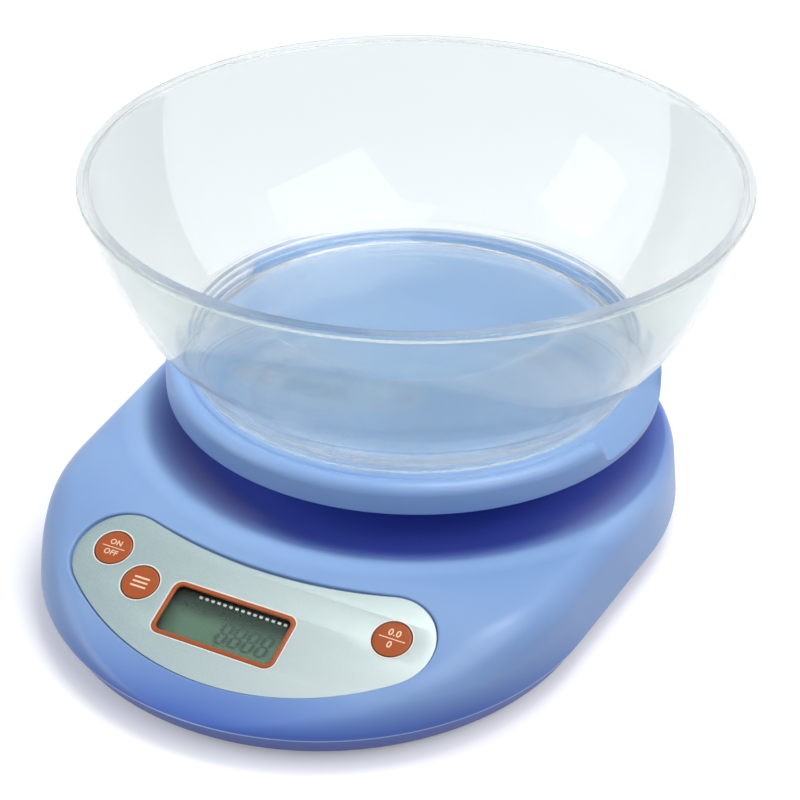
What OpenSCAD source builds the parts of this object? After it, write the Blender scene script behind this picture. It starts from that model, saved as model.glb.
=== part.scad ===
// Digital kitchen scale with a lift-off clear bowl.
// Millimetres, +Z up, front towards -Y. The origin is on the floor under the axis of the weighing tray.

/* [Housing outline] */
// Radius of the rear half of the housing, at the seam
rear_r = 91.2; // [90.4:0.1:92.4]
// Radius of the front half of the housing, at the seam
front_r = 87.7; // [86.6:0.1:89]
// Distance from the rear centre forward to the front centre
wheelbase = 50; // [49:0.5:52]
// How far the rear centre sits in front of the tray axis
rear_offset = 11; // [10.5:0.1:11.6]
// Wall thickness of both covers
wall_t = 2.2; // [2:0.05:2.3]
// Draft of the upper side wall, over its whole height
wall_draft = 1.6; // [1.2:0.1:2]
// Radius of the rounded top edge of the housing
edge_r = 7.5; // [6.5:0.1:8]

/* [Housing heights] */
// Height of the rubber feet below the bottom cover
foot_h = 2; // [1.6:0.1:2.4]
// Height of the seam between the two covers
seam_z = 9.6; // [9.4:0.1:9.8]
// Height of the level rear part of the top cover
cap_z = 30.6; // [30.4:0.1:31.2]
// Height of the floor of the dish under the tray
dish_z = 22; // [21.8:0.1:22.4]
// Radius of the rounded ridge round the dish
ridge_r = 89.5; // [89:0.1:90]

/* [Control panel] */
// Slope of the control panel
panel_slope = 19.8; // [19.4:0.1:20]
// Distance from the tray axis forward to the middle of the panel
panel_fwd = 112.8; // [112.4:0.1:113.2]
// Height of the panel face at its middle
panel_z = 22.6; // [22.4:0.1:22.8]
// Thickness of the silver overlay
overlay_t = 0.6; // [0.4:0.05:0.7]
// Depth of the overlay face below the housing face
recess_d = 1.2; // [1.1:0.05:1.3]
// Half of the distance between the centres of the two panel lobes
lobe_x = 44; // [43.5:0.1:44.5]
// Radius of each panel lobe
lobe_r = 14.7; // [14.4:0.1:15]
// Width of the orange display frame, outside
frame_w = 40.5; // [39:0.5:41.5]
// Height of the orange display frame along the slope, outside
frame_l = 18.2; // [17.6:0.1:18.6]
// Width of the band of the display frame
frame_band = 1.3; // [1:0.1:1.5]
// Diameter of the three keys
key_d = 11.4; // [11:0.1:11.8]
// Travel of a key
key_travel = 0.5; // [0.3:0.05:0.6]

/* [Tray] */
// Outer radius of the weighing tray
tray_r = 80; // [79.5:0.1:80.5]
// Height of the lower edge of the tray
tray_edge_z = 41.5; // [41:0.1:42]
// Height of the flat seat of the tray
seat_z = 50; // [49.6:0.1:50.4]
// Half angle of each of the two finger notches in the tray rim
notch_half = 17.5; // [14:0.5:20]

/* [Bowl] */
// Outer radius of the ball that the bowl wall follows
ball_r = 101.6; // [101.2:0.1:102]
// Height of the bowl, foot to rim
bowl_h = 65.5; // [64:0.5:67]
// Outer radius of the rim lip
lip_r = 103.1; // [102.8:0.1:103.6]
// Thickness of the bowl wall
bowl_t = 2; // [1.8:0.1:2.2]
// Outer radius of the foot of the bowl
bowl_foot_r = 71.8; // [71.4:0.1:72.2]

/* [Weighing mechanism] */
// Length of the load cell beam
cell_l = 60; // [58:0.5:61]
// Width of the load cell beam
cell_w = 12.7; // [12:0.1:13]
// Height of the load cell beam
cell_h = 9.4; // [9:0.1:9.6]
// Radius of the tray carrier
carrier_r = 33; // [32:0.2:33.4]
// Travel of the tray from no load to the stops
tray_travel = 1; // [0.6:0.1:1]

/* [Battery bay] */
// Diameter of a battery cell
cell_d = 10.3; // [10:0.1:10.4]
// Length of a battery cell
battery_l = 44.2; // [43.8:0.1:44.5]
// Distance from the tray axis back to the middle of the bay
bay_back = 54; // [53.6:0.1:54.4]

/* [Fits] */
// Gap between a moving piece and its housing
gap = 0.3; // [0.25:0.05:0.35]
// Radial clearance of a pin in its bore
pin_fit = 0.08; // [0.05:0.01:0.1]

/* [Hidden] */
$fn = 96;
eps = 0.01;

rear_y = -rear_offset;
front_y = rear_y - wheelbase;
plan_turn = asin((front_r - rear_r) / wheelbase);
side_run = wheelbase * cos(plan_turn);

// Lower cover: its wall stands inside the seam line and leans in towards the table
base_top_in = 1;
base_foot_in = 3.7;
base_edge = 1.2;
floor_top = foot_h + wall_t;
tongue_t = 1.2;
tongue_h = 2.2;
tongue_gap = 0.2;
tongue_clear = 12.7;
seam_lap = 0.15;

// Sloping face: blend radius where it meets the level part, and edge radius at the front
blend_r = 60;
front_edge_r = 10;
front_edge_fwd = 10;
front_disc_r = 88.5;
disc_lift = 0.05;

// Dish under the tray
dish_rise = 25;
dish_bend_r = 20;
ridge_round = 10;
ridge_out = 2;
ridge_lift = 0.12;
throat_r = carrier_r + 2.5;
collar_h = 4;
collar_t = 2;

// Panel outline: the lower arc touches both lobes from outside, the upper one runs between them
lobe_v = 5;
panel_low = -25.4;
panel_top = 14.1;
low_c = (pow(panel_low + lobe_r, 2) - pow(lobe_x, 2) - pow(lobe_v, 2))
    / (2 * (panel_low + lobe_r - lobe_v));
low_r = low_c - panel_low;
top_r = (pow(lobe_x, 2) + pow(panel_top - lobe_v, 2) - pow(lobe_r, 2))
    / (2 * (lobe_r - panel_top + lobe_v));
top_c = panel_top + top_r;
recess_gap = 0.5;
backing_t = 1.8;
frame_x = -2.7;
frame_v = -6;
frame_proud = 0.35;
frame_corner = 3;
key_r = key_d / 2;
key_t = 0.9;
key_wall = 0.9;
key_flange = 0.8;
key_proud = 0.15;
stem_d = 3.6;
switch_xy = [[-47.3, 6.7], [-33.3, -1.5], [45.7, 6.2]];

// Stack below the panel face, all measured down along its normal
lens_t = 1;
lcd_t = 2.2;
lcd_down = overlay_t + backing_t + 0.2;
zebra_h = 1.6;
board_down = lcd_down + lcd_t + zebra_h;
board_t = 1.2;
lcd_w = frame_w + 1.5;
lcd_l = frame_l + 1.6;
holder_t = 1.4;
board_in = 4;
switch_h = 2;
switch_w = 6;
plunger_d = 3.2;
plunger_h = 0.7;
plunger_sunk = 0.3;
post_xv = [[-42.5, -2.6], [36, -4], [-30, 9.4], [30, 9.4]];
post_d = 5;
board_screw_d = 2;

// Load cell stack, from the floor up
pad_h = 1.6;
spacer_t = 1;
cell_z = floor_top + pad_h + spacer_t;
cell_top = cell_z + cell_h;
carrier_z = cell_top + spacer_t;
bolt_in = 5;
bolt_pitch = 12;
bolt_y = [cell_l / 2 - bolt_in, cell_l / 2 - bolt_in - bolt_pitch];
bolt_d = 4;
bolt_head_d = 7;
bolt_head_h = 2.4;
bolt_bite = 7;
sensing_d = 7;
sensing_pitch = 8;
stop_x = 20;
stop_y = 14;
stop_spare = 0.2;

// Carrier and tray
carrier_floor_t = 2.5;
carrier_wall_t = 2;
flange_t = 2.6;
flange_in = 22;
tray_t = 2.6;
tray_under = seat_z - tray_t;
peg_ring = (flange_in + carrier_r) / 2;
peg_d = 5;
peg_l = 6;
bead_in = 3.7;
bead_r = 2;
bead_h = 0.9;
notch_in = 9;
skirt_r = throat_r + collar_t + 2.5;
skirt_low = dish_z + collar_h + 2;
tray_ribs = 12;

// Bowl
bowl_foot_z = seat_z + gap;
bowl_top = bowl_foot_z + bowl_h - gap;
lip_t = 2;
ball_z = bowl_top - lip_t + sqrt(pow(ball_r, 2) - pow(ball_r - 0.6, 2)) + 1.5;
step_h = 2.4;
step_out = 0.8;
steps = 3;
wall_start = bowl_foot_z + steps * step_h;
wall_out = 0.8;
wall_foot_r = bowl_foot_r + steps * step_out + wall_out;
ball_reach = sqrt(pow(ball_r, 2) - pow(ball_z - wall_start, 2));
// The wall's arc always starts on the foot; its centre moves off the axis in steps of 0.05 mm
ball_x = round((wall_foot_r - ball_reach) * 20) / 20;
bowl_floor_z = bowl_foot_z + 1;
foot_band = 4.6;

// Battery bay, open below, and its hinged door
contact_t = 0.4;
spring_room = 5.6;
spring_wire = 0.7;
bay_in_x = battery_l + 2 * contact_t + spring_room;
bay_in_y = 2 * cell_d + 2.4;
bay_wall = 1.6;
door_t = 1.6;
door_x = bay_in_x + 3.4;
door_y = bay_in_y + 4.4;
door_front = bay_back - door_y / 2;
door_back = door_front + door_y;
ledge_top = foot_h + 4;
battery_y = [bay_back - cell_d / 2 - 0.35, bay_back + cell_d / 2 + 0.35];
battery_z = foot_h + door_t + 0.7 + cell_d / 2;
bay_roof = battery_z + cell_d / 2 + 0.3;
hinge_d = 2.6;
hinge_y = door_front + hinge_d / 2;
hinge_z = foot_h + hinge_d / 2;
hinge_pin_d = 1.6;
hinge_pin_l = 1.8;
latch_w = 12;
tab_z = battery_z + 0.6;

// Fasteners and feet
screw_xy = [[-70, -30], [70, -30], [-67, -90], [67, -90], [-48, 34], [48, 34], [0, -78]];
boss_d = 7;
screw_d = 2.6;
screw_head_d = 5.4;
screw_head_h = 1.8;
screw_len = 12;
foot_xy = [[-52, -106], [52, -106], [-63, 20], [63, 20]];
foot_d = 12;
foot_pocket = 1;
head_seat = foot_h + 2.6;
bolt_seat = foot_h + bolt_head_h + 0.1;

// Colours
body_blue = [0.45, 0.60, 0.82];
base_blue = [0.40, 0.48, 0.74];
silver = [0.78, 0.83, 0.83];
orange = [0.80, 0.36, 0.12];
clear_grey = [0.90, 0.95, 0.97, 0.35];
steel = [0.72, 0.73, 0.75];
dark = [0.16, 0.17, 0.18];

// Shared forms

// Sweeps a flat profile round the housing outline. The profile's zero line is the outline at
// the seam, inside is negative. Two turned ends and two straight runs meet on flat faces; the
// runs lap a hair into the front end, so that no crack stays between them.
module sweep_outline() {
    over = rear_r - front_r + 2;
    lap = 0.002;
    module cut(radius, low) {
        intersection() {
            translate([radius, 0])
                children();
            translate([low, -200])
                square([2 * radius, 400]);
        }
    }
    translate([0, rear_y, 0])
        rotate([0, 0, plan_turn])
            rotate_extrude(angle = 180 - 2 * plan_turn)
                cut(rear_r, 0)
                    children();
    translate([0, front_y, 0])
        rotate([0, 0, 180 - plan_turn])
            rotate_extrude(angle = 180 + 2 * plan_turn)
                cut(front_r, 0)
                    children();
    for (side = [0, 1])
        mirror([side, 0, 0])
            translate([0, rear_y, 0])
                rotate([0, 0, plan_turn])
                    rotate([90, 0, 0])
                        linear_extrude(side_run + lap)
                            cut(rear_r, -over)
                                children();
}

// Places its children on the panel: x across, y up the slope, z out of the face
module on_panel() {
    translate([0, -panel_fwd, panel_z])
        rotate([panel_slope, 0, 0])
            children();
}

// Outline of the control panel, grown by g
module panel_outline(g = 0) {
    low_reach = 1.12 * low_r / (low_r - lobe_r);
    top_reach = 1.3 * lobe_r / (lobe_r + top_r);
    low_x = lobe_x * low_reach;
    low_v = low_c - (low_c - lobe_v) * low_reach;
    top_x = lobe_x * (1 - top_reach);
    top_v = lobe_v + (top_c - lobe_v) * top_reach;
    shy = 0.002;
    out = 9;
    for (side = [-1, 1])
        translate([side * lobe_x, lobe_v])
            circle(lobe_r + g);
    difference() {
        intersection() {
            translate([0, low_c])
                circle(low_r + g - shy, $fn = 240);
            polygon([[-low_x, low_v], [-low_x, panel_low - out], [low_x, panel_low - out],
                [low_x, low_v], [lobe_x, lobe_v], [top_x, top_v], [-top_x, top_v],
                [-lobe_x, lobe_v]]);
        }
        translate([0, top_c])
            circle(top_r - g + shy, $fn = 360);
    }
}

// Rectangle with rounded corners, centred
module rounded_box(w, l, r) {
    square([w - 2 * r, l], center = true);
    square([w, l - 2 * r], center = true);
    for (x = [-1, 1])
        for (y = [-1, 1])
            translate([x * (w / 2 - r), y * (l / 2 - r)])
                circle(r, $fn = 32);
}

// Point of the panel frame in the frame of the whole scale
function face_point(x, v, out) = [x,
    -panel_fwd + v * cos(panel_slope) - out * sin(panel_slope),
    panel_z + v * sin(panel_slope) + out * cos(panel_slope)];

// Smooth curve through the points p: share t of the way from point i to point i + 1
function curve_at(p, i, t) =
    let (a = p[max(i - 1, 0)], b = p[i], c = p[i + 1], d = p[min(i + 2, len(p) - 1)])
    0.5 * (2 * b + (c - a) * t + (2 * a - 5 * b + 4 * c - d) * t * t
        + (3 * b - a - 3 * c + d) * t * t * t);

function smooth_route(p, parts) = [
    for (i = [0 : len(p) - 2])
        for (k = [0 : parts - 1])
            curve_at(p, i, k / parts),
    p[len(p) - 1]
];

// Round tube with eight sides along a route that never runs upright
module tube(route, d) {
    sides = 8;
    last = len(route) - 1;
    rings = [
        for (i = [0 : last])
            let (ahead = route[min(i + 1, last)] - route[max(i - 1, 0)],
                along = ahead / norm(ahead),
                across = cross(along, [0, 0, 1]) / norm(cross(along, [0, 0, 1])),
                up = cross(across, along))
            for (k = [0 : sides - 1])
                route[i] + d / 2 * (across * cos(360 / sides * k) + up * sin(360 / sides * k))
    ];
    walls = [
        for (i = [0 : last - 1])
            for (k = [0 : sides - 1])
                let (n = (k + 1) % sides)
                [i * sides + k, i * sides + n, (i + 1) * sides + n, (i + 1) * sides + k]
    ];
    polyhedron(rings, concat(walls,
        [[for (k = [sides - 1 : -1 : 0]) k], [for (k = [0 : sides - 1]) last * sides + k]]));
}

// Housing form

// Side profile of the top: level at the rear, then one large arc down to the slope; lowered by d
module side_profile(d = 0) {
    top = cap_z - d;
    rise = recess_d - d;
    face_y = -panel_fwd - rise * sin(panel_slope);
    face_z = panel_z + rise * cos(panel_slope);
    knee = face_y + (top - face_z) / tan(panel_slope);
    run = (blend_r - d) * tan(panel_slope / 2);
    low = knee - run * cos(panel_slope);
    low_z = top - run * sin(panel_slope);
    slope_l = 90;
    polygon([[120, -5], [120, top], [knee + run, top], [low, low_z],
        [low - slope_l * cos(panel_slope), low_z - slope_l * sin(panel_slope)],
        [low - slope_l, -40], [0, -40]]);
    intersection() {
        translate([knee + run, top - blend_r + d])
            circle(blend_r - d, $fn = 240);
        polygon([[low, low_z], [knee, top + eps], [knee + run, top]]);
    }
}

// Disc lying on the slope, whose rounded rim softens the front edge; lowered and drawn in by d
module sloped_disc(d = 0) {
    e = front_edge_r - d;
    r = front_disc_r - d;
    y = front_y - front_edge_fwd;
    deep = 120;
    translate([0, y, panel_z + (y + panel_fwd) * tan(panel_slope)])
        rotate([panel_slope, 0, 0])
            translate([0, 0, recess_d + disc_lift - d])
                rotate_extrude($fn = 180) {
                    translate([0, -deep])
                        square([r - e, deep]);
                    translate([0, -deep])
                        square([r, deep - e]);
                    translate([r - e, -e])
                        circle(e, $fn = 64);
                }
    translate([-120, y, -20])
        cube([240, 200, 80]);
}

// Outer form of the top cover from the height low upwards, shrunk by d all round
module top_form(d = 0, low = seam_z) {
    e = edge_r - d;
    shoulder = cap_z - edge_r;
    intersection() {
        sweep_outline() {
            polygon([[-200, low], [-d, low], [-d, seam_z], [-wall_draft - d, shoulder],
                [-wall_draft - edge_r, shoulder], [-wall_draft - edge_r, cap_z - d],
                [-200, cap_z - d]]);
            translate([-wall_draft - edge_r, shoulder])
                circle(e, $fn = 64);
        }
        rotate([90, 0, 90])
            linear_extrude(240, center = true)
                side_profile(d);
        sloped_disc(d);
    }
}

// Space of the dish under the tray; a positive d leaves that much wall round it
module dish_space(d = 0) {
    ridge_c = ridge_r + ridge_out;
    ridge_zc = cap_z + ridge_lift - ridge_round;
    bend_zc = dish_z + dish_bend_r;
    rise_z = cap_z + ridge_lift - dish_z - (ridge_round + dish_bend_r) * (1 - cos(dish_rise));
    bend_c = ridge_c - (ridge_round + dish_bend_r) * sin(dish_rise) - rise_z / tan(dish_rise);
    rr = ridge_round - d;
    br = dish_bend_r + d;
    top = cap_z + 20;
    rotate_extrude($fn = 180) {
        polygon([[0, top], [0, bend_zc - br], [bend_c, bend_zc - br],
            [bend_c + br * sin(dish_rise), bend_zc - br * cos(dish_rise)],
            [ridge_c - rr * sin(dish_rise), ridge_zc + rr * cos(dish_rise)],
            [ridge_c, ridge_zc + rr], [ridge_c, top]]);
        intersection() {
            translate([bend_c, bend_zc])
                circle(br);
            translate([bend_c, bend_zc - br])
                square([br, br]);
        }
    }
}

// Post that hangs from the top cover and takes a screw from below
module cover_boss() {
    low = seam_z - 0.6;
    translate([0, 0, low])
        cylinder(cap_z - wall_t / 2 - low, d = boss_d, $fn = 48);
}

module cover_boss_bore() {
    translate([0, 0, seam_z - 2])
        cylinder(head_seat + screw_len + 0.8 - seam_z + 2, d = screw_d + 2 * pin_fit, $fn = 32);
}

module cover_shell() {
    difference() {
        top_form();
        difference() {
            top_form(wall_t, seam_z - 1);
            dish_space(wall_t);
        }
    }
}

// Plate behind the overlay, with the posts that carry the circuit board
module panel_backing() {
    on_panel() {
        translate([0, 0, -overlay_t - backing_t])
            linear_extrude(backing_t + 0.1)
                panel_outline(2.4);
        for (p = post_xv)
            translate([p[0], p[1], -board_down])
                cylinder(board_down - overlay_t - backing_t / 2, d = post_d, $fn = 32);
    }
}

// Recess for the overlay, window, key wells and screw bores of the panel
module panel_cuts() {
    inner_w = frame_w - 2 * frame_band;
    inner_l = frame_l - 2 * frame_band;
    on_panel() {
        translate([0, 0, -overlay_t])
            linear_extrude(8)
                panel_outline(recess_gap);
        translate([frame_x, frame_v, -overlay_t - lens_t])
            linear_extrude(4)
                rounded_box(inner_w + 1.2, inner_l + 1.2, 2);
        translate([frame_x, frame_v, -8])
            linear_extrude(8)
                rounded_box(inner_w - 1, inner_l - 1, 1.6);
        for (p = switch_xy)
            translate([p[0], p[1], -8])
                cylinder(12, r = key_r + gap);
        for (p = post_xv)
            translate([p[0], p[1], -board_down - 1])
                cylinder(board_down - overlay_t - 0.6, d = board_screw_d + 2 * pin_fit, $fn = 24);
    }
}

module top_cover() {
    color(body_blue)
        difference() {
            union() {
                difference() {
                    union() {
                        cover_shell();
                        for (p = screw_xy)
                            translate(p)
                                cover_boss();
                        panel_backing();
                    }
                    dish_space();
                }
                // Collar that keeps spills out of the throat
                translate([0, 0, dish_z - wall_t / 2])
                    cylinder(collar_h + wall_t / 2, r = throat_r + collar_t);
            }
            translate([0, 0, dish_z - wall_t - 3])
                cylinder(20, r = throat_r);
            for (p = screw_xy)
                translate(p)
                    cover_boss_bore();
            panel_cuts();
        }
}

// Floor, leaning wall and locating tongue of the bottom cover, as one swept section
module base_shell() {
    wall_in = base_foot_in + wall_t;
    tongue_in = wall_t + tongue_gap;
    lap_z = seam_z - seam_lap;
    difference() {
        sweep_outline()
            polygon([[-200, foot_h], [-base_foot_in - base_edge, foot_h],
                [-base_foot_in, foot_h + base_edge], [-base_top_in, lap_z], [-tongue_in, lap_z],
                [-tongue_in - 0.3, seam_z + tongue_h], [-tongue_in - tongue_t, seam_z + tongue_h],
                [-tongue_in - tongue_t, lap_z - 0.6], [-wall_in, floor_top], [-200, floor_top]]);
        // No tongue at the front, where the slope comes down to the seam
        translate([-60, front_y - front_r - 5, lap_z + 0.05])
            cube([120, tongue_clear + 5, tongue_h + 1]);
    }
}

// Stiffening ribs on the floor of the bottom cover
module floor_ribs() {
    rib_t = 1.4;
    rib_h = 1.8;
    rib_x = 74;
    from = cell_w / 2 + 2;
    for (x = [-44, -30, 30, 44])
        translate([x - rib_t / 2, -74, floor_top - 0.2])
            cube([rib_t, 92, rib_h + 0.2]);
    for (y = [-60, -42, 18])
        for (side = [-1, 1])
            translate([side > 0 ? from : -rib_x, y, floor_top - 0.2])
                cube([rib_x - from, rib_t, rib_h + 0.2]);
}

// Walls, roof and door rim of the battery bay
module battery_bay_block() {
    w = bay_in_x + 2 * bay_wall;
    l = bay_in_y + 2 * bay_wall;
    rim_x = 3.4;
    rim_front = 2.4;
    rim_back = 1.8;
    translate([-w / 2, bay_back - l / 2, foot_h])
        cube([w, l, bay_roof + bay_wall - foot_h]);
    translate([-door_x / 2 - rim_x, door_front - rim_front, foot_h])
        cube([door_x + 2 * rim_x, door_y + rim_front + rim_back, ledge_top - foot_h]);
}

// Groove under the free edge of the door, for a finger tip
module finger_groove() {
    translate([0, door_back, foot_h - 2])
        rotate([0, 90, 0])
            cylinder(16, r = 2.8, center = true, $fn = 48);
}

module battery_bay_space() {
    pin_room = 0.3;
    translate([-bay_in_x / 2, bay_back - bay_in_y / 2, foot_h - 1])
        cube([bay_in_x, bay_in_y, bay_roof - foot_h + 1]);
    translate([-door_x / 2 - gap, door_front - gap, foot_h - 1])
        cube([door_x + 2 * gap, door_y + 2 * gap, 1 + door_t + 0.1]);
    // Room for the hinge barrel to turn, and the two bores for its pins
    translate([0, hinge_y, hinge_z])
        rotate([0, 90, 0]) {
            cylinder(door_x + 2 * gap, d = hinge_d + 2 * gap, center = true, $fn = 48);
            cylinder(door_x + 2 * (hinge_pin_l + pin_room), d = hinge_pin_d + 2 * pin_fit,
                center = true, $fn = 48);
        }
    // Slot that the latch tongue rises into
    translate([-latch_w / 2 - 2 * gap, door_back - 2.6, foot_h + 1])
        cube([latch_w + 4 * gap, 2.6 + gap, door_t + 3]);
    // Slots for the solder tabs of the two contacts on the left
    for (y = battery_y)
        translate([-bay_in_x / 2 - bay_wall - 1, y - 1.7, tab_z - 0.2])
            cube([bay_wall + 2, 3.4, contact_t + 0.4]);
    finger_groove();
}

module bottom_cover() {
    stop_top = carrier_z - tray_travel - stop_spare;
    pad_front = -cell_l / 2 - 1.5;
    color(base_blue)
        difference() {
            union() {
                base_shell();
                for (p = screw_xy)
                    translate([p[0], p[1], foot_h])
                        cylinder(seam_z - 0.9 - foot_h, d = boss_d + 1.6, $fn = 48);
                // Pad under the fixed end of the load cell
                translate([-cell_w / 2 - 2, pad_front, foot_h])
                    cube([cell_w + 4, bolt_in + bolt_pitch + 5.6, floor_top + pad_h - foot_h]);
                // Stops that catch the carrier when the tray is overloaded
                for (x = [-stop_x, stop_x])
                    for (y = [-stop_y, stop_y])
                        translate([x, y, foot_h])
                            cylinder(stop_top - foot_h, d = 6, $fn = 32);
                battery_bay_block();
                floor_ribs();
                for (p = foot_xy)
                    translate([p[0], p[1], foot_h])
                        cylinder(wall_t + 0.8, d = foot_d + 4);
            }
            battery_bay_space();
            for (p = foot_xy)
                translate([p[0], p[1], foot_h - 1])
                    cylinder(1 + foot_pocket, d = foot_d + 0.2);
            for (p = screw_xy)
                translate([p[0], p[1], 0]) {
                    cylinder(head_seat, d = screw_head_d + 0.8, $fn = 48);
                    cylinder(seam_z + 1, d = screw_d + 0.5, $fn = 32);
                }
            for (y = bolt_y)
                translate([0, -y, 0]) {
                    cylinder(bolt_seat, d = bolt_head_d + 0.6, $fn = 48);
                    cylinder(cell_z + 1, d = bolt_d + 2 * pin_fit, $fn = 48);
                }
        }
}

module rubber_feet() {
    color(dark)
        for (p = foot_xy)
            translate([p[0], p[1], 0])
                rotate_extrude()
                    polygon([[0, 0], [foot_d / 2 - 0.8, 0], [foot_d / 2, 0.8],
                        [foot_d / 2, foot_h + foot_pocket], [0, foot_h + foot_pocket]]);
}

module housing_screws() {
    color(steel)
        for (p = screw_xy)
            translate([p[0], p[1], head_seat])
                difference() {
                    union() {
                        translate([0, 0, -screw_head_h])
                            cylinder(screw_head_h, d = screw_head_d, $fn = 48);
                        cylinder(screw_len, d = screw_d, $fn = 32);
                    }
                    for (turn = [0, 90])
                        translate([0, 0, -screw_head_h])
                            rotate([0, 0, turn])
                                cube([3, 0.7, 1.8], center = true);
                }
}

// Display and control panel

module panel_overlay() {
    color(silver)
        on_panel()
            translate([0, 0, -overlay_t])
                difference() {
                    linear_extrude(overlay_t)
                        panel_outline();
                    translate([frame_x, frame_v, -1])
                        linear_extrude(3)
                            rounded_box(frame_w + 0.2, frame_l + 0.2, frame_corner);
                    for (p = switch_xy)
                        translate([p[0], p[1], -1])
                            cylinder(3, r = key_r + gap);
                }
}

module display_frame() {
    color(orange)
        on_panel()
            translate([frame_x, frame_v, -overlay_t])
                difference() {
                    linear_extrude(overlay_t + frame_proud)
                        rounded_box(frame_w, frame_l, frame_corner);
                    translate([0, 0, -1])
                        linear_extrude(4)
                            rounded_box(frame_w - 2 * frame_band, frame_l - 2 * frame_band,
                                frame_corner - 1);
                }
}

module display_lens() {
    color(clear_grey)
        on_panel()
            translate([frame_x, frame_v, -overlay_t - lens_t])
                linear_extrude(lens_t)
                    rounded_box(frame_w - 2 * frame_band + 1, frame_l - 2 * frame_band + 1, 2);
}

// Display cell: two glass plates, the lower one longer so that its contacts lie free
module lcd_glass() {
    plate = lcd_t / 2;
    color([0.52, 0.60, 0.52])
        on_panel()
            translate([frame_x, frame_v, -lcd_down - lcd_t]) {
                translate([-lcd_w / 2, -lcd_l / 2, 0])
                    cube([lcd_w, lcd_l, plate]);
                translate([-lcd_w / 2, -lcd_l / 2, 0])
                    cube([lcd_w, lcd_l - 2.2, 2 * plate]);
            }
}

// Frame that holds the display over the board and guides the contact strips
module lcd_holder() {
    play = 0.2;
    w = lcd_w + 2 * play;
    l = lcd_l + 2 * play;
    h = zebra_h + lcd_t - 0.4;
    color("white")
        on_panel()
            translate([frame_x, frame_v, -board_down])
                difference() {
                    translate([-w / 2 - holder_t, -l / 2 - holder_t, 0])
                        cube([w + 2 * holder_t, l + 2 * holder_t, h]);
                    translate([-w / 2, -l / 2, zebra_h])
                        cube([w, l, h]);
                    translate([-lcd_w / 2 + 3, -lcd_l / 2 + 4.6, -1])
                        cube([lcd_w - 6, lcd_l - 9.2, h]);
                    for (side = [-1, 1])
                        translate([0, side * (lcd_l / 2 - 1.6), 0])
                            cube([lcd_w - 3.6, 2.2, 4 * zebra_h], center = true);
                }
}

module zebra_strips() {
    color([0.75, 0.45, 0.55])
        on_panel()
            for (side = [-1, 1])
                translate([frame_x, frame_v + side * (lcd_l / 2 - 1.6), -board_down + zebra_h / 2])
                    cube([lcd_w - 4, 1.8, zebra_h], center = true);
}

module main_board() {
    color([0.10, 0.38, 0.22])
        on_panel()
            translate([0, 0, -board_down - board_t])
                difference() {
                    linear_extrude(board_t)
                        panel_outline(-board_in);
                    for (p = post_xv)
                        translate([p[0], p[1], -1])
                            cylinder(4, d = board_screw_d + 0.4, $fn = 24);
                }
}

// Sealed chip, crystal, small parts and the two lead sockets on the back of the board
module board_parts() {
    socket_h = 3;
    color(dark)
        on_panel()
            translate([0, 0, -board_down - board_t]) {
                translate([4, -6, -1.4])
                    cylinder(1.4, r1 = 4.2, r2 = 6, $fn = 48);
                translate([-14, -9, -2.4])
                    cylinder(2.4, d = 5, $fn = 32);
                translate([24, -11, -1.6])
                    cube([8, 3.2, 1.6]);
                for (i = [0 : 4])
                    translate([-18 + 3.4 * i, 4, -0.8])
                        cube([1.8, 1.1, 0.8]);
                translate([19.5, 0, -socket_h])
                    cube([9, 4, socket_h]);
                translate([-39.4, -4, -socket_h])
                    cube([6, 4, socket_h]);
            }
}

module board_screws() {
    head_h = 1.2;
    color(steel)
        on_panel()
            for (p = post_xv)
                translate([p[0], p[1], -board_down - board_t]) {
                    translate([0, 0, -head_h])
                        cylinder(head_h, d = 3.8, $fn = 32);
                    cylinder(board_t + 3, d = board_screw_d, $fn = 24);
                }
}

// Bodies of the three push switches, each with a round well for its plunger
module tact_switches() {
    color(dark)
        on_panel()
            for (p = switch_xy)
                translate([p[0], p[1], -board_down])
                    difference() {
                        translate([-switch_w / 2, -switch_w / 2, 0])
                            cube([switch_w, switch_w, switch_h]);
                        translate([0, 0, switch_h - plunger_sunk - key_travel - gap])
                            cylinder(3, d = plunger_d + 2 * pin_fit, $fn = 32);
                    }
}

// Hollow key cap with a flange that keeps it under the panel, and a stem down to its switch
module key_at(p) {
    flange_top = -overlay_t - backing_t - gap;
    low = flange_top - key_flange;
    top = key_proud;
    stem_low = -board_down + switch_h + plunger_h;
    color(orange)
        on_panel()
            translate([p[0], p[1], 0])
                rotate_extrude()
                    polygon([[0, stem_low], [stem_d / 2, stem_low], [stem_d / 2, top - key_t],
                        [key_r - key_wall, top - key_t], [key_r - key_wall, low],
                        [key_r + key_flange, low], [key_r + key_flange, flange_top],
                        [key_r, flange_top], [key_r, top - 0.25], [key_r - 0.25, top], [0, top]]);
}

module plunger_at(p) {
    color(steel)
        on_panel()
            translate([p[0], p[1], -board_down + switch_h - plunger_sunk])
                cylinder(plunger_h + plunger_sunk, d = plunger_d, $fn = 32);
}

module on_off_key() {
    key_at(switch_xy[0]);
}

module on_off_plunger() {
    plunger_at(switch_xy[0]);
}

module mode_key() {
    key_at(switch_xy[1]);
}

module mode_plunger() {
    plunger_at(switch_xy[1]);
}

module tare_key() {
    key_at(switch_xy[2]);
}

module tare_plunger() {
    plunger_at(switch_xy[2]);
}

// Weighing mechanism

// Places its children at the two bolts of one end of the load cell: -1 the fixed, 1 the free end
module at_bolts(end) {
    for (y = bolt_y)
        translate([0, end * y, 0])
            children();
}

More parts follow.
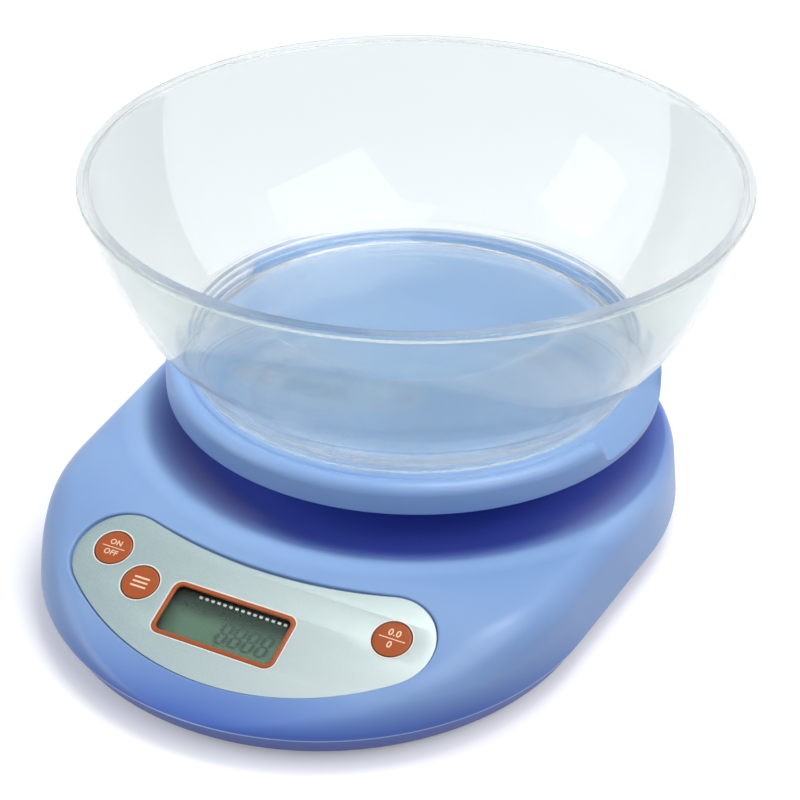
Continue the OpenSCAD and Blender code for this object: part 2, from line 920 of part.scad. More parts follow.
module load_cell() {
    mid = cell_z + cell_h / 2;
    color([0.80, 0.81, 0.83])
        difference() {
            translate([-cell_w / 2, -cell_l / 2, cell_z])
                cube([cell_w, cell_l, cell_h]);
            // Spring section: two bores across the beam, joined by a slot
            for (y = [-sensing_pitch / 2, sensing_pitch / 2])
                translate([0, y, mid])
                    rotate([0, 90, 0])
                        cylinder(cell_w + 2, d = sensing_d, center = true, $fn = 48);
            translate([0, 0, mid])
                cube([cell_w + 2, sensing_pitch, 3], center = true);
            for (end = [-1, 1])
                at_bolts(end)
                    translate([0, 0, cell_z - 1])
                        cylinder(cell_h + 2, d = bolt_d + 2 * pin_fit, $fn = 48);
        }
}

// Sealant over the strain gauges, above and below the spring section
module gauge_potting() {
    potting_t = 0.6;
    color("white")
        for (z = [cell_top, cell_z - potting_t])
            translate([-4.4, -6.5, z])
                cube([8.8, 13, potting_t]);
}

module spacer(end, z) {
    margin = 3.6;
    color(steel)
        difference() {
            translate([-cell_w / 2, end > 0 ? bolt_y[1] - margin : -bolt_y[0] - margin, z])
                cube([cell_w, bolt_pitch + 2 * margin, spacer_t]);
            at_bolts(end)
                translate([0, 0, z - 1])
                    cylinder(spacer_t + 2, d = bolt_d + 2 * pin_fit, $fn = 48);
        }
}

module base_spacer() {
    spacer(-1, cell_z - spacer_t);
}

module carrier_spacer() {
    spacer(1, cell_top);
}

// Socket-head bolt, head upwards, seated at zero
module bolt(length) {
    color(steel)
        difference() {
            union() {
                cylinder(bolt_head_h, d = bolt_head_d, $fn = 48);
                translate([0, 0, -length])
                    cylinder(length + 1, d = bolt_d, $fn = 48);
            }
            translate([0, 0, bolt_head_h - 1.2])
                cylinder(2, d = 3.4, $fn = 6);
        }
}

module base_bolts() {
    at_bolts(-1)
        translate([0, 0, bolt_seat])
            rotate([180, 0, 0])
                bolt(cell_z + bolt_bite - bolt_seat);
}

module carrier_bolts() {
    at_bolts(1)
        translate([0, 0, carrier_z + carrier_floor_t])
            bolt(carrier_floor_t + spacer_t + bolt_bite);
}

module cell_lead() {
    d = 2.2;
    z = cell_z + 4;
    run_z = floor_top + 4;
    socket = -board_down - board_t - 1.9;
    color("white")
        tube(smooth_route([[0, -cell_l / 2, z], [0, -cell_l / 2 - 5, z], [8, -48, run_z],
            [18, -66, run_z], [24, -88, run_z + 2.6], face_point(24, 13, socket - 3),
            face_point(24, 6.5, socket - 0.4), face_point(24, 4, socket)], 5), d);
}

// Two leads from the battery contacts to the board
module battery_leads() {
    d = 1.4;
    z = tab_z + contact_t + d / 2;
    tab_x = -bay_in_x / 2 - bay_wall - 1.4;
    run_z = floor_top + 3.8;
    socket = -board_down - board_t - 1.9;
    for (i = [0, 1])
        color(i == 0 ? "red" : "black")
            let (x = -36 - 2.6 * i, s = -35.2 - 2.4 * i)
            tube(smooth_route([[tab_x, battery_y[i], z], [tab_x - 3.4 - i, battery_y[i] - 4, z],
                [x, 24, run_z], [x, -20, run_z], [x, -56, run_z], [s - 1, -86, run_z + 0.4],
                face_point(s, 9, socket - 2.5), face_point(s, 2.5, socket - 0.3),
                face_point(s, 0, socket)], 5), d);
}

// Tray and its carrier

module carrier() {
    wall_top = tray_under;
    wall_in = carrier_r - carrier_wall_t;
    ribs = 6;
    color([0.90, 0.90, 0.88])
        difference() {
            union() {
                rotate_extrude()
                    polygon([[0, carrier_z], [carrier_r, carrier_z], [carrier_r, wall_top],
                        [flange_in, wall_top], [flange_in, wall_top - flange_t],
                        [wall_in, wall_top - flange_t - 4], [wall_in, carrier_z + carrier_floor_t],
                        [0, carrier_z + carrier_floor_t]]);
                for (i = [0 : ribs - 1])
                    rotate([0, 0, 360 / ribs * i])
                        translate([18, -0.8, carrier_z + 1])
                            cube([wall_in - 17.5, 1.6, 13]);
            }
            at_bolts(1)
                translate([0, 0, carrier_z - 1])
                    cylinder(carrier_floor_t + 2, d = bolt_d + 2 * pin_fit, $fn = 48);
            // Room for the bolt heads where a longer cell brings them to the wall
            at_bolts(1)
                translate([0, 0, carrier_z + carrier_floor_t + eps])
                    cylinder(bolt_head_h + gap, d = bolt_head_d + 2 * gap, $fn = 48);
            for (i = [0 : 3])
                rotate([0, 0, 45 + 90 * i])
                    translate([peg_ring, 0, wall_top - peg_l - 1])
                        cylinder(peg_l + 2, d = peg_d + 2 * pin_fit, $fn = 48);
            // Drain holes in the floor
            for (a = [30, 150, 210, 270, 330])
                rotate([0, 0, a])
                    translate([14, 0, carrier_z - 1])
                        cylinder(carrier_floor_t + 2, d = 6, $fn = 32);
        }
}

module tray() {
    bead_c = tray_r - bead_in;
    bead_z = seat_z + bead_h - bead_r;
    notch_r = tray_r - notch_in;
    color(body_blue)
        difference() {
            union() {
                rotate_extrude($fn = 180) {
                    polygon([[0, tray_under], [tray_r - 5, tray_under], [tray_r - 2, tray_edge_z],
                        [tray_r, tray_edge_z], [tray_r, tray_edge_z + 0.8],
                        [bead_c + bead_r, bead_z], [bead_c, bead_z], [bead_c - 1.6, seat_z],
                        [0, seat_z]]);
                    translate([bead_c, bead_z])
                        circle(bead_r, $fn = 48);
                }
                // Skirt that stands round the collar of the housing
                rotate_extrude()
                    translate([skirt_r, skirt_low])
                        square([1.8, tray_under - skirt_low + 1]);
                for (i = [0 : tray_ribs - 1])
                    rotate([0, 0, 360 / tray_ribs * (i + 0.5)])
                        translate([skirt_r + 1, -0.7, tray_under - 3.4])
                            cube([tray_r - 7 - skirt_r, 1.4, 4.4]);
                for (i = [0 : 3])
                    rotate([0, 0, 45 + 90 * i])
                        translate([peg_ring, 0, tray_under - peg_l])
                            cylinder(peg_l + 1, d = peg_d, $fn = 48);
                // Slanted floor of each finger notch
                for (side = [0, 180])
                    rotate([0, 0, side - notch_half - 1])
                        rotate_extrude(angle = 2 * notch_half + 2, $fn = 180)
                            polygon([[notch_r - 4, tray_under + 0.6], [notch_r - 4, tray_under - 0.1],
                                [notch_r - 0.2, tray_under - 0.1], [tray_r - 1.5, tray_edge_z],
                                [tray_r - 0.2, tray_edge_z], [tray_r - 0.2, tray_edge_z + 1.9],
                                [notch_r, seat_z - 0.3]]);
            }
            // Finger notches: the rim falls away on the left and the right
            for (side = [0, 180])
                rotate([0, 0, side - notch_half])
                    rotate_extrude(angle = 2 * notch_half, $fn = 180)
                        polygon([[notch_r, seat_z], [tray_r + 1, tray_edge_z + 1.2],
                            [tray_r + 1, seat_z + 4], [notch_r, seat_z + 4]]);
        }
}

// Bowl: a ball-shaped wall on a foot of three rings, with a flat lip
module bowl() {
    ball_in = ball_r - bowl_t;
    floor_in = bowl_floor_z + bowl_t;
    foot_in = bowl_foot_r - foot_band;
    blend_z = wall_start + 5;
    blend_x = ball_x + sqrt(pow(ball_in, 2) - pow(ball_z - blend_z, 2));
    color(clear_grey)
        rotate_extrude($fn = 180)
            difference() {
                union() {
                    intersection() {
                        translate([ball_x, ball_z])
                            circle(ball_r, $fn = 360);
                        translate([0, wall_start - 0.5])
                            square([2 * ball_r, bowl_top - lip_t / 2 - wall_start + 0.5]);
                    }
                    for (i = [0 : steps - 1])
                        translate([0, bowl_foot_z + i * step_h])
                            square([bowl_foot_r + i * step_out, step_h + 0.2]);
                    translate([0, bowl_top - lip_t])
                        square([lip_r, lip_t]);
                }
                intersection() {
                    translate([ball_x, ball_z])
                        circle(ball_in, $fn = 360);
                    translate([-1, blend_z])
                        square([2 * ball_r, bowl_h + 10]);
                }
                polygon([[-1, floor_in], [foot_in - 2, floor_in], [foot_in, floor_in + 1.2],
                    [blend_x, blend_z], [blend_x, blend_z + 0.1], [-1, blend_z + 0.1]]);
                // The floor stands clear of the seat inside the foot ring
                translate([-1, bowl_foot_z - 1])
                    square([foot_in + 2, 2]);
            }
}

// Batteries and their door

// Cell lying along X, its raised contact towards the side that turn names
module battery(y, turn) {
    nub = 1;
    color([0.25, 0.30, 0.34])
        translate([turn * (bay_in_x / 2 - contact_t - battery_l / 2), y, battery_z])
            rotate([0, turn * 90, 0]) {
                translate([0, 0, -battery_l / 2])
                    cylinder(battery_l - nub, d = cell_d);
                cylinder(battery_l / 2, d = 3.8, $fn = 32);
            }
}

module battery_a() {
    battery(battery_y[0], 1);
}

module battery_b() {
    battery(battery_y[1], -1);
}

// Two contacts with solder tabs on the left, and one bridge on the right
module battery_contacts() {
    low = ledge_top + 0.2;
    h = 2 * (battery_z - low);
    left = -bay_in_x / 2;
    color(steel) {
        for (y = battery_y) {
            translate([left, y - 4, low])
                cube([contact_t, 8, h]);
            translate([left - bay_wall - 2.6, y - 1.5, tab_z])
                cube([bay_wall + 2.6 + contact_t, 3, contact_t]);
        }
        translate([-left - contact_t, battery_y[0] - 4, low])
            cube([contact_t, battery_y[1] - battery_y[0] + 8, h]);
    }
}

// Conical spring along Z, wide at its foot
module cone_spring() {
    turns = 4;
    wide = 3.5;
    tip = 2.3;
    run = spring_room - spring_wire;
    parts = 16;
    tube([for (i = [0 : turns * parts])
        let (t = i / (turns * parts), r = wide + (tip - wide) * t)
        [r * cos(360 / parts * i), r * sin(360 / parts * i), spring_wire / 2 + run * t]],
        spring_wire);
}

module battery_springs() {
    color(steel)
        for (i = [0, 1])
            translate([(i == 0 ? -1 : 1) * (bay_in_x / 2 - contact_t), battery_y[i], battery_z])
                rotate([0, i == 0 ? 90 : -90, 0])
                    cone_spring();
}

module battery_door() {
    latch_t = 1.2;
    latch_y = door_back - 0.7 - latch_t;
    color(base_blue)
        difference() {
            union() {
                translate([-door_x / 2, hinge_y, foot_h])
                    cube([door_x, door_back - hinge_y, door_t]);
                translate([0, hinge_y, hinge_z])
                    rotate([0, 90, 0]) {
                        cylinder(door_x, d = hinge_d, center = true, $fn = 48);
                        cylinder(door_x + 2 * hinge_pin_l, d = hinge_pin_d, center = true, $fn = 48);
                    }
                // Low ribs that the cells lie on
                for (y = battery_y)
                    translate([-16, y - 0.7, foot_h + door_t - 0.2])
                        cube([32, 1.4, 0.6]);
                // Latch tongue with its nose
                translate([-latch_w / 2, latch_y, foot_h + door_t - 0.2])
                    cube([latch_w, latch_t, 2.6]);
                translate([-latch_w / 2, latch_y + latch_t, foot_h + door_t + 1.6])
                    rotate([0, 90, 0])
                        cylinder(latch_w, r = 0.4, $fn = 32);
            }
            finger_groove();
            // Grip grooves
            for (i = [0 : 3])
                translate([-8, door_back - 5 - 2 * i, foot_h - 1])
                    cube([16, 0.8, 1.4]);
        }
}

top_cover();
bottom_cover();
rubber_feet();
housing_screws();
panel_overlay();
display_frame();
display_lens();
lcd_glass();
lcd_holder();
zebra_strips();
main_board();
board_parts();
board_screws();
tact_switches();
load_cell();
gauge_potting();
base_spacer();
base_bolts();
cell_lead();
battery_leads();
battery_a();
battery_b();
battery_contacts();
battery_springs();
carrier_spacer();
carrier();
carrier_bolts();
tray();
bowl();
on_off_key();
on_off_plunger();
mode_key();
mode_plunger();
tare_key();
tare_plunger();
battery_door();
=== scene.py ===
"""Finishes the digital kitchen scale: covers, tray, bowl, panel, looks, floor, lamps and camera."""

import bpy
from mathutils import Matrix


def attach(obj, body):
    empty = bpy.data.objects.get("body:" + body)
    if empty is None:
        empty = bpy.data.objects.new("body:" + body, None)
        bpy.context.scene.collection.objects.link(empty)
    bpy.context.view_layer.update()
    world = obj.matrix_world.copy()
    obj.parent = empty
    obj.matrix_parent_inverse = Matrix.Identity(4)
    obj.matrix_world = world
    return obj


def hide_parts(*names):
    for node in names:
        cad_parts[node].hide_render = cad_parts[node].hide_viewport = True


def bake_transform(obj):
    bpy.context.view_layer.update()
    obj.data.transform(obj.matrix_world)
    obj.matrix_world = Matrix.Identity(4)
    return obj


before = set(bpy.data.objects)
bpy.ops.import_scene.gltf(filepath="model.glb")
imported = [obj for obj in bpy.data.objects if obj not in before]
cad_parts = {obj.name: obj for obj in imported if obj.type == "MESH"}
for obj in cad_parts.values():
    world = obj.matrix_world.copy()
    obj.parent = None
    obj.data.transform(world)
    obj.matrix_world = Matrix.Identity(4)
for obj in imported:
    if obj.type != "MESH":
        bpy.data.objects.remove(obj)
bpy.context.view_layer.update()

import logging
import math
from dataclasses import dataclass
from enum import Enum
from typing import Optional, Sequence

import bmesh
import bpy
import numpy as np
from mathutils import Matrix

LOG = logging.getLogger("kitchen_scale")
MM = 0.001
NODES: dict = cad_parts
WELD = 2e-6
THINNEST = 1e-7
SETTLE_TURNS = 6
Socket = bpy.types.NodeSocket


class Body(Enum):
    """Bodies of the scale that pieces ride on."""
    HOUSING = "housing"
    PLATFORM = "platform"
    BOWL = "bowl"
    ON_OFF = "on_off"
    MODE = "mode"
    TARE = "tare"
    DOOR = "door"


# Mesh tools. All sizes below are millimetres; a mesh is brought to metres when it is made.

def arc(centre: Sequence[float], radius: float, start: float, end: float,
        steps: int) -> np.ndarray:
    """Points on a circle: centre plus radius times (cos, sin) of angles spaced evenly.

    Args:
        centre: Middle of the circle.
        radius: Its radius.
        start: First angle in degrees.
        end: Last angle in degrees.
        steps: Number of spaces between points.

    Returns:
        Array of steps + 1 points.
    """
    t = np.radians(np.linspace(start, end, steps + 1))
    return np.stack([centre[0] + radius * np.cos(t), centre[1] + radius * np.sin(t)], 1)


def soften(corners: Sequence[Sequence[float]], steps: int) -> np.ndarray:
    """Line through corners (x, y, radius) with each corner rounded by an arc of its radius.

    At a corner the arc starts and ends radius / tan(half the corner angle) away from it, and
    follows a quadratic blend of the start, the corner and the end, which is near a circle.

    Args:
        corners: Rows of x, y and radius; the ends are kept sharp.
        steps: Spaces along each rounded corner.

    Returns:
        Array of points.
    """
    pts = np.array([c[:2] for c in corners], float)
    out = [pts[0]]
    t = np.linspace(0, 1, steps + 1)[:, None]
    straight = 3.12
    for i in range(1, len(pts) - 1):
        radius = corners[i][2]
        a, b = pts[i - 1] - pts[i], pts[i + 1] - pts[i]
        la, lb = np.linalg.norm(a), np.linalg.norm(b)
        turn = math.acos(max(-1.0, min(1.0, float(a @ b) / (la * lb))))
        if radius <= 0 or turn > straight:
            out.append(pts[i])
            continue
        cut = min(radius / math.tan(turn / 2), 0.49 * la, 0.49 * lb)
        p, q = pts[i] + a / la * cut, pts[i] + b / lb * cut
        out.extend((1 - t) ** 2 * p + 2 * t * (1 - t) * pts[i] + t ** 2 * q)
    out.append(pts[-1])
    return np.array(out)


def smooth(share: np.ndarray) -> np.ndarray:
    """The share held between 0 and 1, with a soft start and end."""
    s = np.clip(share, 0, 1)
    return s * s * (3 - 2 * s)


def add_object(name: str, data: bpy.types.ID) -> bpy.types.Object:
    """New object in the scene."""
    made = bpy.data.objects.new(name, data)
    bpy.context.scene.collection.objects.link(made)
    return made


def make_piece(name: str, grids: Sequence[np.ndarray], body: Body,
               sharp: float) -> bpy.types.Object:
    """One object from grids of points, welded where they meet and turned outwards.

    Args:
        name: Name of the piece.
        grids: Its surfaces in millimetres: rows of points, each row closed on itself.
        body: Body that it rides on.
        sharp: Angle in degrees above which an edge stays crisp.

    Returns:
        The object, riding its body.
    """
    verts, faces, start = [], [], 0
    for grid in grids:
        rows, cols = grid.shape[:2]
        row, col = start + np.arange(rows - 1)[:, None] * cols, np.arange(cols)[None, :]
        after = (col + 1) % cols
        quads = [row + col, row + after, row + cols + after, row + cols + col]
        verts.append(grid.reshape(-1, 3))
        faces.append(np.stack(quads, -1).reshape(-1, 4))
        start += rows * cols
    mesh = bpy.data.meshes.new(name)
    mesh.from_pydata((np.concatenate(verts) * MM).tolist(), [], np.concatenate(faces).tolist())
    return settle(name, mesh, body, sharp)


def settle(name: str, mesh: bpy.types.Mesh, body: Optional[Body], sharp: float,
           outward: bool = True) -> bpy.types.Object:
    """Welds a mesh, turns it outwards, smooths it and sets it on its body.

    Args:
        name: Name of the piece.
        mesh: Mesh in metres, in the frame of the scale.
        body: Body that it rides on, or None to leave the piece without a body.
        sharp: Angle in degrees above which an edge stays crisp.
        outward: True to recalculate the normals.

    Returns:
        The object.
    """
    work = bmesh.new()
    work.from_mesh(mesh)
    bmesh.ops.remove_doubles(work, verts=work.verts, dist=WELD)
    bmesh.ops.dissolve_degenerate(work, edges=work.edges, dist=THINNEST)
    if outward:
        bmesh.ops.recalc_face_normals(work, faces=work.faces)
    work.to_mesh(mesh)
    work.free()
    mesh.shade_smooth()
    mesh.set_sharp_from_angle(angle=math.radians(sharp))
    piece = add_object(name, mesh)
    if body:
        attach(piece, body.value)
    return piece


def lathe(profile: np.ndarray, cols: int, centre: Sequence[float] = (0.0, 0.0)) -> np.ndarray:
    """A profile of radius and height turned about an upright line.

    Point = centre + (radius cos a, radius sin a, height) for angles a spaced evenly.

    Args:
        profile: Rows of radius and height.
        cols: Number of columns round the line.
        centre: Where the line stands.

    Returns:
        The grid.
    """
    a = np.arange(cols) * 2 * np.pi / cols
    r, z = profile[:, :1], profile[:, 1:]
    return np.stack([centre[0] + r * np.cos(a), centre[1] + r * np.sin(a), z + 0 * a], -1)


def block(centre: Sequence[float], size: Sequence[float], turn: float) -> np.ndarray:
    """Box as four rings of four corners, the first and last drawn in to its middle line.

    Args:
        centre: Its middle.
        size: Length, width and height.
        turn: Its angle about the upright, in radians.

    Returns:
        The grid.
    """
    x = np.array([-0.5, 0.5, 0.5, -0.5]) * size[0]
    y = np.array([-0.5, -0.5, 0.5, 0.5]) * size[1]
    ring = np.stack([x * np.cos(turn) - y * np.sin(turn), x * np.sin(turn) + y * np.cos(turn)], 1)
    xy = ring * np.array([0.0, 1, 1, 0])[:, None, None]
    z = np.array([-0.5, -0.5, 0.5, 0.5])[:, None, None] * size[2]
    return np.concatenate([xy, np.broadcast_to(z, (4, 4, 1))], -1) + centre


def cad_copy(node: str, body: Optional[Body] = None) -> bpy.types.Object:
    """A welded copy of a solid whose form is right, shaded smooth, in the solid's place."""
    mesh = NODES[node].data.copy()
    mesh.materials.clear()
    for label in ("custom_normal", "sharp_edge", "sharp_face"):
        if label in mesh.attributes:
            mesh.attributes.remove(mesh.attributes[label])
    piece = settle(node + "_skin", mesh, body, sharp=28.0, outward=False)
    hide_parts(node)
    return piece


# Finishes. Places in a material are metres; colours are given as screen values, 0 to 255.

def linear(r: int, g: int, b: int) -> tuple:
    """Colour for a shader from its screen values."""
    c = np.array([r, g, b]) / 255
    out = np.where(c <= 0.04045, c / 12.92, ((c + 0.055) / 1.055) ** 2.4)
    return (*map(float, out), 1.0)


class Wiring:
    """Short calls that add nodes to a tree and join them."""

    def __init__(self, tree: bpy.types.NodeTree) -> None:
        """Keeps the tree."""
        self.tree = tree

    def feed(self, node: bpy.types.Node, inputs: dict) -> None:
        """Gives a node its inputs: another node's output is joined, a plain value is set."""
        for key, value in inputs.items():
            if isinstance(value, Socket):
                self.tree.links.new(value, node.inputs[key])
            else:
                node.inputs[key].default_value = value

    def add(self, kind: str, inputs: Optional[dict] = None, **settings: object) -> bpy.types.Node:
        """Adds a node.

        Args:
            kind: Node type without its ShaderNode prefix.
            inputs: Socket name or number to a value or another node's output.
            settings: Attributes of the node.

        Returns:
            The node.
        """
        node = self.tree.nodes.new("ShaderNode" + kind)
        for key, value in settings.items():
            setattr(node, key, value)
        self.feed(node, inputs or {})
        return node

    def math(self, what: str, a: object, b: object) -> Socket:
        """Result of a Math node on a and b."""
        return self.add("Math", {0: a, 1: b}, operation=what).outputs[0]

    def place(self) -> Socket:
        """Place on the object."""
        return self.add("TexCoord").outputs["Object"]

    def axes(self) -> list:
        """X, Y and Z of the place on the object."""
        return list(self.add("SeparateXYZ", {0: self.place()}).outputs)

    def noise(self, where: Socket, scale: object, detail: float = 2.0,
              rough: float = 0.5) -> Socket:
        """Value of a noise texture, 0 to 1."""
        sockets = {"Vector": where, "Scale": scale, "Detail": detail, "Roughness": rough}
        return self.add("TexNoise", sockets).outputs["Fac"]

    def span(self, value: Socket, a: float, b: float, to_a: object = 0.0, to_b: object = 1.0,
             kind: str = "LINEAR") -> Socket:
        """Value moved from the span a to b onto the span to_a to to_b, held at its ends."""
        sockets = {"Value": value, "From Min": a, "From Max": b, "To Min": to_a, "To Max": to_b}
        return self.add("MapRange", sockets, interpolation_type=kind).outputs[0]

    def mix(self, share: object, a: object, b: object) -> Socket:
        """Colour mixed from a to b; a Mix node has its colours at inputs 6 and 7, output 2."""
        return self.add("Mix", {0: share, 6: a, 7: b}, data_type="RGBA").outputs[2]

    def bump(self, height: Socket, strength: object, distance: float) -> Socket:
        """Normal that a height gives."""
        sockets = {"Height": height, "Strength": strength, "Distance": distance}
        return self.add("Bump", sockets).outputs["Normal"]

    def group(self, tree: bpy.types.NodeTree, values: dict) -> Sequence[Socket]:
        """Outputs of a shader group that is placed with values of its own."""
        return self.add("Group", values, node_tree=tree).outputs

    def seen(self) -> Socket:
        """One for rays from the camera, off a gloss or through clear plastic, else nought."""
        path = self.add("LightPath").outputs
        beyond = self.math("MAXIMUM", path["Is Glossy Ray"], path["Is Transmission Ray"])
        return self.math("MAXIMUM", path["Is Camera Ray"], beyond)


class Effects:
    """The shader groups that several finishes share, each built once."""

    def __init__(self) -> None:
        """Builds the groups."""
        self.grain, self.drift, self.rubs = self._grain(), self._drift(), self._rubs()

    @staticmethod
    def _start(name: str, inputs: dict, outputs: dict) -> tuple:
        """Empty shader node group with named sockets.

        Args:
            name: Name of the group.
            inputs: Name and default of each input, a colour where the default is a tuple.
            outputs: Name and socket kind of each output.

        Returns:
            Wiring of the group, the sockets of its inputs and its output node.
        """
        tree = bpy.data.node_groups.new(name, "ShaderNodeTree")
        for label, value in inputs.items():
            kind = "NodeSocketColor" if isinstance(value, tuple) else "NodeSocketFloat"
            socket = tree.interface.new_socket(label, in_out="INPUT", socket_type=kind)
            socket.default_value = value
        for label, kind in outputs.items():
            tree.interface.new_socket(label, in_out="OUTPUT", socket_type="NodeSocket" + kind)
        given = tree.nodes.new("NodeGroupInput").outputs
        return Wiring(tree), given, tree.nodes.new("NodeGroupOutput")

    def _grain(self) -> bpy.types.NodeTree:
        """Fine spark-eroded grain of moulded plastic: two noises as a height, with its gloss."""
        w, given, out = self._start(
            "mould_grain", {"Fineness": 2600.0, "Depth": 0.1, "Gloss": 0.4, "Gloss Spread": 0.06},
            {"Normal": "Vector", "Roughness": "Float"})
        where = w.place()
        fine, waves = w.noise(where, given["Fineness"], 3.0, 0.6), w.noise(where, 55.0)
        height = w.math("ADD", fine, w.math("MULTIPLY", waves, 1.6))
        patch = w.math("SUBTRACT", w.noise(where, 130.0, 4.0, 0.65), 0.5)
        gloss = w.math("ADD", given["Gloss"], w.math("MULTIPLY", patch, given["Gloss Spread"]))
        w.feed(out, {"Normal": w.bump(height, given["Depth"], 0.0002), "Roughness": gloss})
        return w.tree

    def _drift(self) -> bpy.types.NodeTree:
        """Slow colour change of a moulding and faint specks: noise mixed into a base colour."""
        w, given, out = self._start(
            "colour_drift", {"Base": (0.5, 0.5, 0.5, 1), "Deep": (0.4, 0.4, 0.4, 1),
                             "Reach": 0.3, "Scale": 18.0}, {"Color": "Color"})
        where = w.place()
        slow = w.span(w.noise(where, given["Scale"], 3.0, 0.55), 0.3, 0.7)
        tone = w.mix(w.math("MULTIPLY", slow, given["Reach"]), given["Base"], given["Deep"])
        speck = w.span(w.noise(where, 900.0, 2.0, 0.7), 0.66, 0.8, 0.0, 0.10)
        w.feed(out, {"Color": w.mix(speck, tone, given["Deep"])})
        return w.tree

    def _rubs(self) -> bpy.types.NodeTree:
        """Hairline rub marks: noise stretched along one axis, thresholded to thin streaks."""
        w, given, out = self._start(
            "hair_rubs", {"Across": 900.0, "Along": 30.0, "Depth": 0.05},
            {"Mask": "Float", "Normal": "Vector"})
        scale = w.add("CombineXYZ", {0: given["Along"], 1: given["Across"], 2: given["Across"]})
        stretched = w.add("VectorMath", {0: w.place(), 1: scale.outputs[0]}, operation="MULTIPLY")
        streak = w.noise(stretched.outputs[0], 1.0, 3.0, 0.6)
        w.feed(out, {"Mask": w.span(streak, 0.45, 0.75),
                     "Normal": w.bump(streak, given["Depth"], 0.0001)})
        return w.tree


EFFECTS = Effects()


class Finish:
    """A named material that is built on first use and then shared."""
    name: str

    def inputs(self, w: Wiring) -> dict:
        """What the Principled shader's inputs are given."""
        raise NotImplementedError

    def material(self) -> bpy.types.Material:
        """The material of this finish."""
        made = bpy.data.materials.get("fin_" + self.name)
        if made is None:
            made = bpy.data.materials.new("fin_" + self.name)
            made.use_nodes = True
            w = Wiring(made.node_tree)
            w.feed(made.node_tree.nodes["Principled BSDF"], self.inputs(w))
        return made

    def dress(self, piece: bpy.types.Object, slot: Optional[str] = None) -> None:
        """Gives the piece this material."""
        piece.data.materials.clear()
        piece.data.materials.append(self.material())


@dataclass(frozen=True)
class MouldedPlastic(Finish):
    """Injection-moulded plastic with a fine grain and a slow change of colour."""
    name: str
    colour: tuple
    deep: tuple
    gloss: float = 0.4
    spread: float = 0.08
    depth: float = 0.10
    fineness: float = 2600.0
    reach: float = 0.35
    under: float = 0.0

    def inputs(self, w: Wiring) -> dict:
        """Grain feeds normal and roughness; drift feeds the colour; light may go under the skin."""
        grain = w.group(EFFECTS.grain, {"Fineness": self.fineness, "Depth": self.depth,
                                        "Gloss": self.gloss, "Gloss Spread": self.spread})
        tone = w.group(EFFECTS.drift, {"Base": linear(*self.colour), "Deep": linear(*self.deep),
                                       "Reach": self.reach})
        skin = {"Subsurface Weight": self.under, "Subsurface Radius": (0.4, 0.6, 1.0),
                "Subsurface Scale": 0.0012} if self.under else {}
        return {"Base Color": tone["Color"], "Roughness": grain["Roughness"],
                "Normal": grain["Normal"], "IOR": 1.5, **skin}


@dataclass(frozen=True)
class CoverPlastic(MouldedPlastic):
    """Top cover plastic: painted shade in the dish and low in front, painted highlights on crest
    and seam.
    """
    # Colours of the painted shade and painted highlights laid over the plain plastic.
    dish_painted_shade: tuple = (84, 104, 222)
    ridge_painted_highlight: tuple = (150, 182, 226)
    front_painted_shade: tuple = (60, 96, 178)
    seam_painted_highlight: tuple = (176, 198, 236)

    def inputs(self, w: Wiring) -> dict:
        """Masks by place on the cover lay painted shade and painted highlights over the plain
        plastic.
        """
        plain = super().inputs(w)
        x, y, z = w.axes()
        square = w.math("ADD", w.math("MULTIPLY", x, x), w.math("MULTIPLY", y, y))
        radius = w.math("POWER", square, 0.5)
        ahead = w.math("SUBTRACT", w.math("MULTIPLY", x, 0.45), y)
        # Painted shade: the dish under the tray is made a deeper blue, where the tray's shadow
        # lies.
        dish = w.span(radius, 0.074, 0.088, 0.9, 0.0)
        # Painted highlight: a paler band along the crest of the dish.
        ridge_highlight = w.math("MULTIPLY", w.span(radius, 0.0855, 0.0890, 0.0, 0.55),
                       w.span(radius, 0.0900, 0.0960, 1.0, 0.0))
        # Painted shade: the front is darker low down, above the seam.
        low = w.math("MULTIPLY", w.span(z, 0.0110, 0.0190, 0.95, 0.0),
                     w.span(ahead, 0.095, 0.145))
        # Painted highlight: a pale line along the seam.
        seam = w.span(z, 0.01005, 0.01020, 0.8, 0.0)
        tone = plain["Base Color"]
        for share, over in ((dish, self.dish_painted_shade), (ridge_highlight, self.ridge_painted_highlight),
                            (low, self.front_painted_shade), (seam, self.seam_painted_highlight)):
            tone = w.mix(share, tone, linear(*over))
        return {**plain, "Base Color": tone}


@dataclass(frozen=True)
class Metal(Finish):
    """Metal with hairline rubs along X and patches of a duller tone."""
    name: str
    colour: tuple
    deep: tuple
    gloss: float = 0.32
    across: float = 2200.0

    def inputs(self, w: Wiring) -> dict:
        """Streaks darken the colour a little and change the gloss."""
        deep = linear(*self.deep)
        rubs = w.group(EFFECTS.rubs, {"Across": self.across, "Along": 90.0, "Depth": 0.08})
        tone = w.group(EFFECTS.drift, {"Base": linear(*self.colour), "Deep": deep, "Reach": 0.5,
                                       "Scale": 60.0})["Color"]
        return {"Base Color": w.mix(w.math("MULTIPLY", rubs["Mask"], 0.35), tone, deep),
                "Roughness": w.span(rubs["Mask"], 0.0, 1.0, self.gloss, self.gloss + 0.12),
                "Normal": rubs["Normal"], "Metallic": 1.0}


